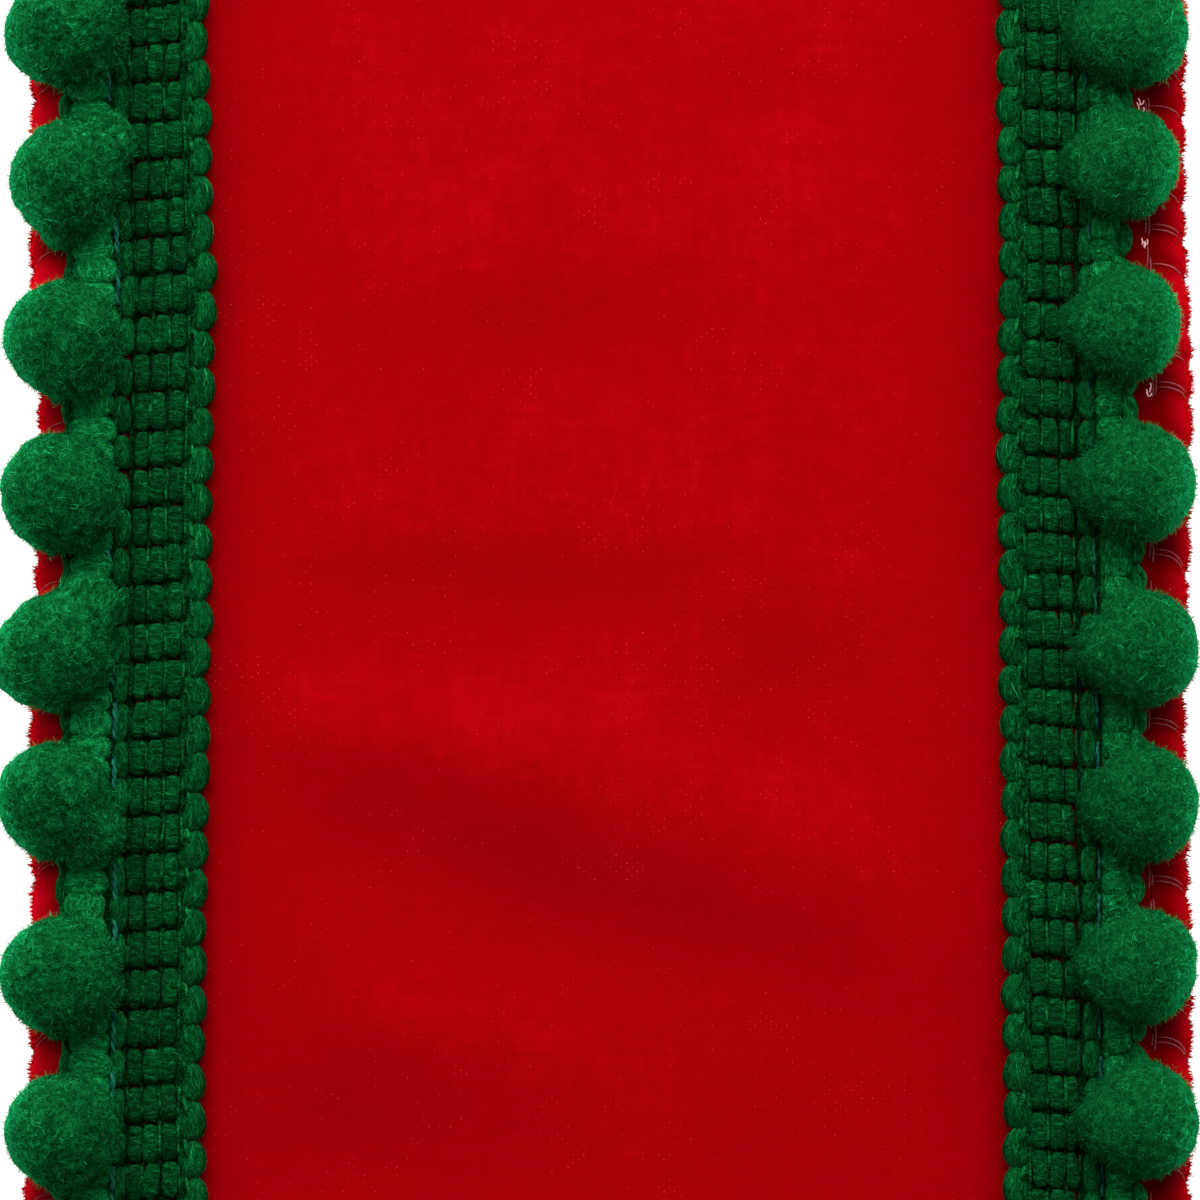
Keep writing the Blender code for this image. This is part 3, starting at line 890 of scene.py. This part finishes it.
def make_ribbon():
    """The velvet with its rolled hems, as one closed sheet."""
    rows = 240
    y = np.linspace(-0.5, 0.5, rows) * LENGTH
    inwards, high = hem_section(np.linspace(0.0, 0.62 * math.pi, 11))
    hem = [(*at, under) for at, under in zip([*zip(inwards, high), *HEM_JOIN], HEM_UNDER)]
    tops, unders, tints = [], [], []

    def add_column(x, top, under, tint):
        tops.append(stack(x, y, top))
        unders.append(stack(x, y, under))
        tints.append(tint)

    def add_hem(columns, side, edge, pale, inward_shade, *_):
        for dx, top, under in columns:
            groove = hem_groove(dx, y, side) * (dx <= 2 * HEM_HALF_X)
            turn = min(dx / HEM_HALF_X, 1.0) * math.pi / 2
            # Painted light at the outer edge, and painted shade in the grooves and further
            # inwards.
            tint = pale - GROOVE_SHADE * groove - inward_shade * min(dx / 1.8, 1.0)
            x = along(edge, y) - side * hem_pull(dx, groove)
            add_column(x, top - GROOVE_SINK * groove * math.sin(turn), under, tint)

    add_hem(hem, *HEMS[0])
    for x in np.linspace(-MIDDLE_TO, MIDDLE_TO, MIDDLE_COLUMNS):
        add_column(x, *velvet_middle(x, y))
    add_hem(hem[::-1], *HEMS[1])
    n = len(tops)
    points = np.concatenate([tops, unders[1:-1]])
    # Top columns 0..n-1, then the underside's own columns 1..n-2. The hems' edges are shared.
    ring = np.array([*range(n), *range(2 * n - 3, n - 1, -1)])
    a = ring[:, None] * rows + np.arange(rows - 1)
    b = np.roll(ring, -1)[:, None] * rows + np.arange(rows - 1)
    tint = np.concatenate([tints, np.full((n - 2, rows), 0.35)])
    mesh = Mesh()
    mesh.add(points, stack(a, b, b + 1, a + 1), np.clip(tint, *TINTS))
    for row, flip in ((0, 1), (rows - 1, -1)):
        upper = np.arange(n) * rows + row
        lower = np.array([0, *range(n, 2 * n - 2), n - 1]) * rows + row
        caps = stack(upper[1:-2], lower[1:-2], lower[2:-1], upper[2:-1])
        ends = np.array([[upper[0], lower[1], upper[1]], [upper[-1], upper[-2], lower[-2]]])
        mesh.quads.append(caps[:, ::flip])
        mesh.tris.append(ends[:, ::flip])
    return mesh.build("ribbon_velvet", VELVET)


# The rows of tufts on a hem: their angle above the edge, and how far they stand out; then how far
# along the hem they go, and how many a row has.
HEM_TUFTS = ((-0.45, 0.20), (-0.15, 0.26), (0.1, 0.29), (0.35, 0.26), (0.65, 0.17))
TUFTS_TO = 50.6
HEM_ROW = 846

# The rows on a cut end: their heights, where they start and end, and how many tufts a row has.
END_HEIGHTS = (1.0, 1.55)
END_FROM = -29.0
END_TO = 29.5
END_ROW = 245

# What a tuft is made of: its fibres, and their width.
TUFT_FIBRES = 2
TUFT_WIDTH = 0.075


def make_hem_pile(rng):
    """The pile that stands out of the rolled hems and the cut ends, in small tufts."""
    mesh = Mesh()
    tufts = []
    for side, edge, _, _, pale, _ in HEMS:
        for angle, reach in HEM_TUFTS:
            y = np.linspace(-TUFTS_TO, TUFTS_TO, HEM_ROW) + rng.uniform(-0.1, 0.1, HEM_ROW)
            turn = angle + rng.normal(0, 0.14, HEM_ROW)
            inwards, z = hem_section(turn)
            groove = hem_groove(inwards, y, side)
            x = along(edge, y) - side * (inwards + GROOVE_PULL * groove)
            root = stack(x, y, z - 0.1 * groove)
            out = stack(side * np.cos(turn), rng.normal(0.1, 0.45, HEM_ROW), np.sin(turn))
            # Neighbours stand out by much the same, so that the pile gathers in clumps.
            clump = 0.95 + 0.4 * lumpy(stack(y, side, 0.0), 0.27, seed=51)
            reaches = reach * clump * rng.uniform(0.6, 1.3, HEM_ROW) * (1.0 + 0.1 * groove)
            # Tufts in a groove get painted shade.
            tufts.append((root, out, reaches, pale - 0.3 * groove))
    for end, z in itertools.product((-1, 1), END_HEIGHTS):
        x = np.linspace(END_FROM, END_TO, END_ROW) + rng.uniform(-0.08, 0.08, END_ROW)
        y = end * LENGTH / 2
        root = stack(x, y, z - hollow_depth(x, y))
        out = stack(rng.normal(0, 0.25, END_ROW), end * 0.9, z - 0.9)
        tufts.append((root, out, 0.28 * rng.uniform(0.5, 1.5, END_ROW), np.full(END_ROW, 0.6)))
    for tuft in tufts:
        root, out, reach, tint = (np.repeat(values, TUFT_FIBRES, 0) for values in tuft)
        out = unit(out)
        n = len(root)
        across = unit(np.cross(out, rng.normal(size=(n, 3))))
        foot = root + across * rng.normal(0, 0.06, (n, 1)) - out * 0.12
        tip = root + out * reach[:, None] + across * rng.normal(0, 0.03, (n, 1))
        path = np.stack([foot, foot * 0.6 + tip * 0.4 + across * 0.012, tip], 1)
        side = np.repeat(unit(np.cross(out, across))[:, None], 3, 1)
        tint = np.clip(tint + rng.normal(0, 0.12, n), 0.05, 0.95)
        strips(mesh, path, side, TUFT_WIDTH, tint)
    return mesh.build("hem_pile", VELVET)


# Trims


def spot(trim, outwards, y, z):
    """Points on a trim: how far outwards of the scallop tips, y, and above its underside."""
    x = along(trim["tips"], np.asarray(y, float)) + trim["side"] * np.asarray(outwards, float)
    return stack(x, y, TRIM_UNDER + np.asarray(z, float))


def box_axes(half_x, half_y, half_z, turn=0.0):
    """Half axes of blobs turned about Z, as (n, 3, 3)."""
    half_x, half_y, half_z, turn = np.broadcast_arrays(half_x, half_y, half_z, turn)
    c, s, zero = np.cos(turn), np.sin(turn), np.zeros(turn.shape)
    rows = ((half_x * c, half_x * s, zero), (-half_y * s, half_y * c, zero), (zero, zero, half_z))
    return np.stack([stack(*row) for row in rows], -2)


def rib_rows(trim, rng):
    """Each slot's y, each rib's middle, and half the height of each rib."""
    slots = (np.arange(-1, 49) + trim["phase"]) * RIB_PITCH - LENGTH / 2
    slots = slots + rng.uniform(-0.06, 0.06, len(slots))
    return slots, (slots[1:] + slots[:-1]) / 2, (slots[1:] - slots[:-1]) / 2


def kept(y, half, chosen=True, share=1.0):
    """Those of the chosen pieces of which a share lies within the cut length."""
    end, reach = LENGTH / 2 + 0.1, half * share
    keep = (y - reach > -end) & (y + reach < end) & chosen
    return y[keep], half[keep]


def spaced(gap, count):
    """Places along the whole length, less a gap at both ends."""
    return np.linspace(-LENGTH / 2 + gap, LENGTH / 2 - gap, count)


def yarns(mesh, rng, kind, middle, axes, paler=0.0, spread=0.05, shade=None):
    """Adds short yarns of one kind in YARNS, with the fibres on them."""
    power, bow, taper, fur, tint, stretch, twist = YARNS[kind]
    blobs = Blobs(middle, axes, power, bow, taper, furry(*fur), shade)
    solids(mesh, rng, blobs, 3, tint + paler, spread, stretch, twist)
    for fibre in FIBRES[kind]:
        hairs(mesh, rng, blobs, fibre, paler)


def slanted(y, outwards):
    """The height of a rib, which climbs towards the velvet, at a distance outwards."""
    return y - RIB_SLANT * (outwards - 1.2)


def make_ribs(trim, rows, rng):
    """Three fat wrapped yarns on each rib, thin strands between them, and a web below, painted
    dark as shade.
    """
    mesh = Mesh()
    slots, ribs, heights = rows
    for outwards, half, paler in trim["beads"]:
        y = slanted(ribs, outwards) + rng.normal(0, 0.025, len(ribs))
        y, half_y = kept(y, heights * rng.uniform(0.92, 0.97, len(ribs)))
        n = len(y)
        turn = trim["side"] * 0.05 + rng.normal(0, 0.04, n)
        axes = box_axes(half * rng.uniform(0.94, 1.08, n), half_y, 0.6, turn)
        middle = spot(trim, outwards + rng.normal(0, 0.03, n), y, 0.62 + rng.normal(0, 0.04, n))
        yarns(mesh, rng, "bead", middle, axes, paler)
    # Thin strands stand between the fat yarns on most ribs, and dip at both ends.
    t = np.linspace(-1, 1, 7)
    for outwards, tint in trim["strands"]:
        shown = rng.uniform(size=len(ribs)) < 0.75
        y, half_y = kept(slanted(ribs, outwards), heights * 0.95, shown)
        n = len(y)
        wave = rng.normal(0, 0.03, (n, 1)) * np.sin(t * 3)
        out = outwards + rng.normal(0, 0.02, (n, 1)) + wave
        high = 1.10 + rng.normal(0, 0.05, (n, 1))
        lines = spot(trim, out, y[:, None] + half_y[:, None] * t, high - 0.70 * t**4)
        thick = rng.uniform(0.075, 0.10, (n, 1)) * np.sqrt(1.05 - 0.6 * t**6)
        tubes(mesh, lines, thick, 5, rng.uniform(tint - 0.07, tint + 0.07, n))
    y = spaced(0.2, 110)
    for outwards, rise, radius, tint in WEB:
        tubes(mesh, spot(trim, outwards, y, rise)[None], radius, 6, tint)
    # Lumps that close some of the slots from below, painted near black as shade.
    for (outwards, half, _), share in zip(trim["beads"], (0.55, 0.4, 0.1)):
        y = slanted(slots, outwards)
        y, half_y = kept(y, np.full(len(y), 0.3), rng.uniform(size=len(slots)) < share)
        lumps = Blobs(spot(trim, outwards, y, 0.3), box_axes(half * 1.2, 0.36, half_y))
        solids(mesh, rng, lumps, 2, 0.05)
    return mesh.build(trim["name"] + "_ribs", YARN)


def make_scallops(trim, rows, rng):
    """A loop of yarn that bows out over the velvet at each slot, led in by a thin strand."""
    mesh = Mesh()
    y = rows[0]
    y, half_y = kept(y, RIB_PITCH * 0.5 * rng.uniform(1.02, 1.12, len(y)), share=0.9)
    n = len(y)
    middle_out, long, dim, paler = trim["scallop"]
    half_x = -trim["side"] * long * rng.uniform(0.94, 1.06, n)
    axes = box_axes(half_x, half_y, 0.56, trim["side"] * rng.normal(0.10, 0.05, n))
    middle = spot(trim, middle_out + rng.normal(0, 0.03, n), y, 0.56 + rng.normal(0, 0.03, n))

    def shade(who, way):
        """Painted shade darkens the loops' tips, where they turn down to the velvet."""
        return paler - dim * eased((way[..., 0] - 0.4) / 0.6)

    yarns(mesh, rng, "scallop", middle, axes, spread=0.04, shade=shade)
    # The strands that lead in to the loops, from above.
    t = np.linspace(0, 1, 6)
    start = y + half_y * rng.uniform(0.95, 1.1, n)
    ys = start[:, None] - rng.uniform(0.9, 1.25, (n, 1)) * t
    out = 1.12 - 0.20 * t + rng.normal(0, 0.03, (n, 1))
    lines = spot(trim, out, ys, 0.78 + 0.28 * np.sin(t * 2.4))
    thick = 0.13 * np.sin(0.12 * math.pi + 0.8 * math.pi * t)
    tubes(mesh, lines, thick, 6, rng.uniform(0.36, 0.50, n))
    return mesh.build(trim["name"] + "_scallops", YARN)


def make_band(trim, rows, rng):
    """The outer band: a soft column, fat bundles side by side on a web, and an edging."""
    mesh = Mesh()
    _, ribs, heights = rows
    y = slanted(ribs, COLUMN) + rng.normal(0, 0.06, len(ribs))
    y, half_y = kept(y, heights * rng.uniform(0.95, 1.1, len(ribs)))
    n = len(y)
    axes = box_axes(rng.uniform(0.46, 0.52, n), half_y, 0.58, rng.normal(0, 0.06, n))
    yarns(mesh, rng, "column", spot(trim, COLUMN + rng.normal(0, 0.04, n), y, 0.56), axes)
    y = spaced(0.2, 60)
    far = along(trim["band"], y)
    for share, rise, tint in BAND_WEB:
        tubes(mesh, spot(trim, 5.1 + (far - 5.1) * share, y, rise)[None], 0.4, 6, tint)
    # Most bundles have their fibres across the band, and some along it.
    count = int(LENGTH / BUNDLE_PITCH) + 1
    y = spaced(0.6, count) + rng.normal(0, 0.09, count)
    y, half_y = kept(y, 0.5 * BUNDLE_PITCH * rng.uniform(1.2, 1.42, count))
    upright = rng.uniform(size=len(y)) < 0.2
    for kind, chosen in (("bundle", ~upright), ("upright", upright)):
        at, half = y[chosen], half_y[chosen]
        n = len(at)
        half_x = 0.5 * trim["band_width"] * rng.uniform(0.96, 1.08, n)
        turn = 0.16 * np.sin(at * 0.75 + trim["side"]) + rng.normal(0, 0.07, n)
        rise = 0.78 + rng.normal(0, 0.07, n)
        middle = spot(trim, along(trim["band"], at) - trim["band_end"] - half_x, at, rise)
        axes = box_axes(half_x, half, 0.8, turn)
        yarns(mesh, rng, kind, middle, axes, trim["pale"], trim["pale_spread"])
    # The edging: upright loops that hug the bundles' ends.
    y = np.arange(-LENGTH / 2 + 1.2, LENGTH / 2 - 1.2, 1.5 * BUNDLE_PITCH)
    y = y + rng.normal(0, 0.1, len(y))
    n = len(y)
    slim, fat, beyond = trim["edging"]
    half_x = trim["side"] * rng.uniform(slim, fat, n)
    half_y, turn = rng.uniform(0.84, 1.0, n), trim["side"] * rng.normal(0.06, 0.08, n)
    middle = spot(trim, along(trim["band"], y) + beyond, y, 0.75)
    axes = box_axes(half_x, half_y, 0.5, turn)
    yarns(mesh, rng, "edging", middle, axes, trim["edging_tint"])
    return mesh.build(trim["name"] + "_band", YARN)


def furry(size, pitch):
    """A swell that roughens a yarn's surface by a share of its size, in bumps a pitch across."""

    def swell(who, way):
        return 1.0 + size * lumpy(way / pitch * 0.6 + 11.3 * who[..., None], 1.0, seed=43)

    return swell


def joined(way, centre, radius, sharp):
    """How far a unit ball and a smaller one that has grown into it reach in each direction."""
    low, high = np.full(way.shape[:-1], 0.7), np.full(way.shape[:-1], 2.0)
    for _ in range(16):
        half = (low + high) / 2
        away = ((way * half[..., None] - centre) ** 2).sum(-1) / radius**2
        field = np.exp(-sharp * (half**2 - 1.0)) + np.exp(-sharp * (away - 1.0) * radius)
        low, high = np.where(field > 1.0, half, low), np.where(field > 1.0, high, half)
    return low


def pompom_lumps(trim):
    """The directions and sizes of the lumps that each pompom's solid has too."""
    rng = random.Random(trim["seed"] + 100)
    ways, amounts = [], []
    for _ in range(len(trim["pompoms"]) * LUMPS):
        ways.append([rng.gauss(0.0, 1.0) for _ in range(3)])
        amounts.append(rng.uniform(-LUMP_SIZE, LUMP_SIZE))
    return unit(np.array(ways)).reshape(-1, LUMPS, 3), np.reshape(amounts, (-1, LUMPS))


def towards(degrees, rise):
    """Directions at angles about Z that rise a little."""
    turn = np.radians(degrees)
    return unit(stack(np.cos(turn), np.sin(turn), rise))


def pompom_blobs(trim):
    """The trim's pompoms, as lumpy as their solids, with a finer skin of curls and creases."""
    x, y, radius, wide, tuft_angle, tuft_size = np.array(trim["pompoms"]).T
    count = len(x)
    ways, amounts = pompom_lumps(trim)
    tufts = towards(tuft_angle, 0.25)
    skin = np.random.default_rng(trim["seed"] + 300)
    angle, height = trim["peak"]
    peaks = towards(angle + skin.normal(0, 4, count), 0.15)
    height = height * skin.uniform(0.5, 1.1, count)
    splits = unit(skin.normal(0, 1, (count, 3)) * (1.0, 0.35, 0.5) + (0.8, 0, 0))
    depth = skin.uniform(0.01, 0.04, count)
    middle = stack(x, y, POMPOM_Z)
    sizes = radius[:, None] * stack(wide, 1.0, POMPOM_FLAT)
    # Each lobe belongs to the pompom nearest to it, and is measured in that pompom's sizes.
    lobes = np.array(trim["lobes"])
    owner = np.linalg.norm(lobes[:, None, :2] - middle[None, :, :2], axis=-1).argmin(1)
    centres = (lobes[:, :3] - middle[owner]) / sizes[owner]
    radii = lobes[:, 3] / radius[owner]

    def facing(who, way, ways):
        """How much each point faces its own pompom's direction, from 0 to 1."""
        return np.maximum(0.0, (way * ways[who]).sum(-1))

    def lobed(who, way):
        """How far each point is pushed out by its pompom's lobes."""
        total = np.zeros(way.shape[:-1])
        for pompom, centre, size in zip(owner, centres, radii):
            mine = who == pompom
            out = joined(way[mine], centre, size, trim["sharp"]) - 1.0
            total[mine] = np.maximum(total[mine], out)
        return total

    def bare(who, way):
        """The pompom without its lobes and curls: lumps, a tuft, a peaked wisp and a crease."""
        total = 1.0 + tuft_size[who] * facing(who, way, tufts) ** 6
        for lump in range(LUMPS):
            total = total + amounts[who, lump] * facing(who, way, ways[:, lump]) ** 3
        total = total + height[who] * facing(who, way, peaks) ** 120
        split = (way * splits[who]).sum(-1) / 0.07
        return total - depth[who] * np.exp(-(split**2)) * (0.4 + 0.6 * way[..., 1] ** 2)

    def curls(who, way):
        return wool(way * radius[who, None] + 20.0 * who[..., None])

    def swell(who, way):
        return bare(who, way) + lobed(who, way) + curls(who, way)

    def shade(who, way):
        # Painted light and shade: a paler rim, paler curls with darker pits, and paler where it
        # faces up the picture. The lobes are darker too.
        low = np.maximum(1.0 - np.abs(way[..., 2]), 0.0) ** trim["rim_fall"]
        turn = np.degrees(np.arctan2(way[..., 1], way[..., 0] * trim["side"]))
        pale = RIM_LIGHT_SIZE * low * along(trim["rim"], np.clip(turn, -90.0, 95.0))
        upper = trim["upper"] * np.maximum(way[..., 1], 0.0)
        mottled = pale + trim["mottle"] * curls(who, way) + upper
        return mottled - trim["dim"] * eased(lobed(who, way) * 12.0)

    axes = box_axes(sizes[:, 0], sizes[:, 1], sizes[:, 2])
    return Blobs(middle, axes, 2.0, swell=swell, shade=shade)


def wool(place):
    """The felted skin's height in shares of a pompom's radius: soft curls with pits between."""
    return 0.020 * lumpy(place, 1.05, seed=41) + 0.034 * lumpy(place, 0.45, seed=42)


def make_pompoms(trim, rng):
    """The pompoms: a felted core under curly fibres, in two pieces a trim."""
    blobs = pompom_blobs(trim)
    made = []
    for half in (0, 1):
        mesh = Mesh()
        some = Part(blobs, np.arange(6) + 6 * half)
        solids(mesh, rng, some, 5, 0.35 + trim["fluff"], 0.02, (2.4, 2.4, 2.4), crowd=0.45)
        for fibre in (*FIBRES["pompom"], (trim["strays"], *STRAY)):
            hairs(mesh, rng, some, fibre, trim["fluff"], trim["fluff_spread"])
        for points in mesh.points:
            points[:, 2] = np.maximum(points[:, 2], POMPOM_FLOOR)
        made.append(mesh.build(f"{trim['name']}_pompoms_{half + 1}", FLUFF[trim["name"]]))
    return made


def make_stitches(trim, rng):
    """The teal running stitch that holds the trim down."""
    mesh = Mesh()
    y = -LENGTH / 2 + 0.6
    while y < LENGTH / 2 - 2.6:
        long = rng.uniform(2.1, 2.7)
        t = np.linspace(0, 1, 9)
        ys = y + long * t
        out = along(trim["stitch"], ys) + rng.normal(0, 0.03)
        rise = 1.04 - 0.80 * np.abs(2 * t - 1) ** 6
        line = spot(trim, out, ys, rise)
        twisted(mesh, line, trim["stitch_size"], trim["stitch_tint"])
        y += long + rng.uniform(0.35, 0.6)
    return mesh.build(trim["name"] + "_stitching", TEAL)


def make_filament(rng):
    """The clear overlock thread: an arc in each groove, and loose ends along the right hem."""
    mesh = Mesh()
    inwards, z = hem_section(np.linspace(-0.1 * math.pi, 0.72 * math.pi, 10))
    swelling = 0.012 + 0.045 * np.sin(np.linspace(0.25, 1.0, 10) * math.pi) ** 0.6
    t = np.linspace(0, 1, 8)
    for side, edge, _, _, _, share in HEMS:
        for k in range(-24, 25):
            # The heights at which the phase is whole, found in a few rounds.
            y = np.full(len(inwards), k * GROOVE_PITCH)
            for _ in range(6):
                y = y - (hem_phase(inwards, y, side) - k) * GROOVE_PITCH
            if np.abs(y).max() > LENGTH / 2 - 0.6:
                continue
            x = along(edge, y) - side * hem_pull(inwards, 1.0)
            line = stack(x, y, z - 0.02 - 0.08 * (inwards / 1.8) ** 3)
            # Every other groove has a second thread beside the first, a little higher.
            for move in ((0, 0, 0), (0, 0.28, 0.03))[: 1 + k % 2]:
                tubes(mesh, (line + move)[None], swelling * share, 5)
            if side > 0:
                for shift in (-0.08, 0.08):
                    start = y[-1] - 0.4 + rng.normal(0, 0.15)
                    up = start + rng.uniform(0.6, 1.6) * t
                    x_up = x[-1] - 0.15 + shift + 0.05 * np.sin(3 * t + shift)
                    high = 1.70 + 0.12 * np.sin(3 * t)
                    tubes(mesh, stack(x_up, up, high)[None], 0.052, 5)
    return mesh.build("hem_overlock", CLEAR)


def make_knots(rng):
    """The tangles where the overlock thread is tied, with painted glints: their material glows."""
    mesh = Mesh()
    t = np.linspace(0, 1, 5)[:, None]
    bend = 0.04 * np.sin(math.pi * t) * (1.0, 0.0, 1.0)
    for x, y in KNOTS:
        for _ in range(KNOT_STRANDS):
            start = np.array([x, y - 0.2, 1.98]) + rng.normal(0, (0.13, 0.14, 0.03))
            turn = rng.normal(1.5, 0.3)
            long = rng.uniform(0.16, 0.45)
            dash = long * np.array([math.cos(turn), math.sin(turn), 0.0])
            tubes(mesh, (start + dash * t + bend)[None], 0.034, 5)
    return mesh.build("hem_knots", KNOT)


def in_scene(name, data):
    """A new object of the scene."""
    obj = bpy.data.objects.new(name, data)
    bpy.context.scene.collection.objects.link(obj)
    return obj


def make_stage():
    """A white floor that glows a little, with soft light that falls from behind the object."""
    bpy.ops.mesh.primitive_plane_add(size=6.0, location=(0.0, 0.0, -0.0001))
    floor = bpy.context.object
    floor.name = "floor"
    material, tree, bsdf = shader("floor_white", 0.9)
    looks = {"Emission Color": (1, 1, 1, 1), "Emission Strength": FLOOR_GLOW}
    feed(tree, bsdf, {"Base Color": (*[FLOOR_WHITE] * 3, 1.0), **looks})
    floor.data.materials.append(material)
    floor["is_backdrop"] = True
    world = bpy.data.worlds.new("studio")
    world.use_nodes = True
    tree = world.node_tree
    feed(tree, tree.nodes["Background"], {"Color": (1, 1, 1, 1), "Strength": SKY})
    bpy.context.scene.world = world
    for name, place, size, power in LIGHTS:
        light = bpy.data.lights.new(name, "AREA")
        light.size = size
        light.energy = power
        lamp = in_scene(name, light)
        lamp.location = place
        lamp.rotation_mode = "QUATERNION"
        lamp.rotation_quaternion = lamp.location.to_track_quat("Z", "Y")


def make_camera():
    """Straight down from far off, with a frame 65.9 mm wide."""
    camera = bpy.data.cameras.new("camera")
    camera.lens = 900.0
    camera.sensor_width = 36.0
    camera.clip_end = 50.0
    obj = in_scene("camera", camera)
    obj.location = (0.0, 0.0, 1.6493)
    bpy.context.scene.camera = obj


def main():
    rng = np.random.default_rng(7)
    make_camera()
    make_stage()
    scene = bpy.context.scene
    scene.view_settings.view_transform = "Standard"
    scene.view_settings.look = "None"
    ribbon = make_ribbon()
    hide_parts("ribbon")
    pile = make_hem_pile(rng)
    overlock = [make_filament(rng), make_knots(rng)]
    for trim in TRIMS:
        rng = np.random.default_rng(trim["seed"])
        rows = rib_rows(trim, rng)
        pieces = [
            make_ribs(trim, rows, rng),
            make_scallops(trim, rows, rng),
            make_band(trim, rows, rng),
            *make_pompoms(trim, rng),
        ]
        for piece in pieces:
            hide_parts(trim["name"])
        make_stitches(trim, rng)


main()
boxes = {"cad": CAD_BOX, "scene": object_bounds()}
{k: [list(corner) for corner in box] for k, box in boxes.items()}
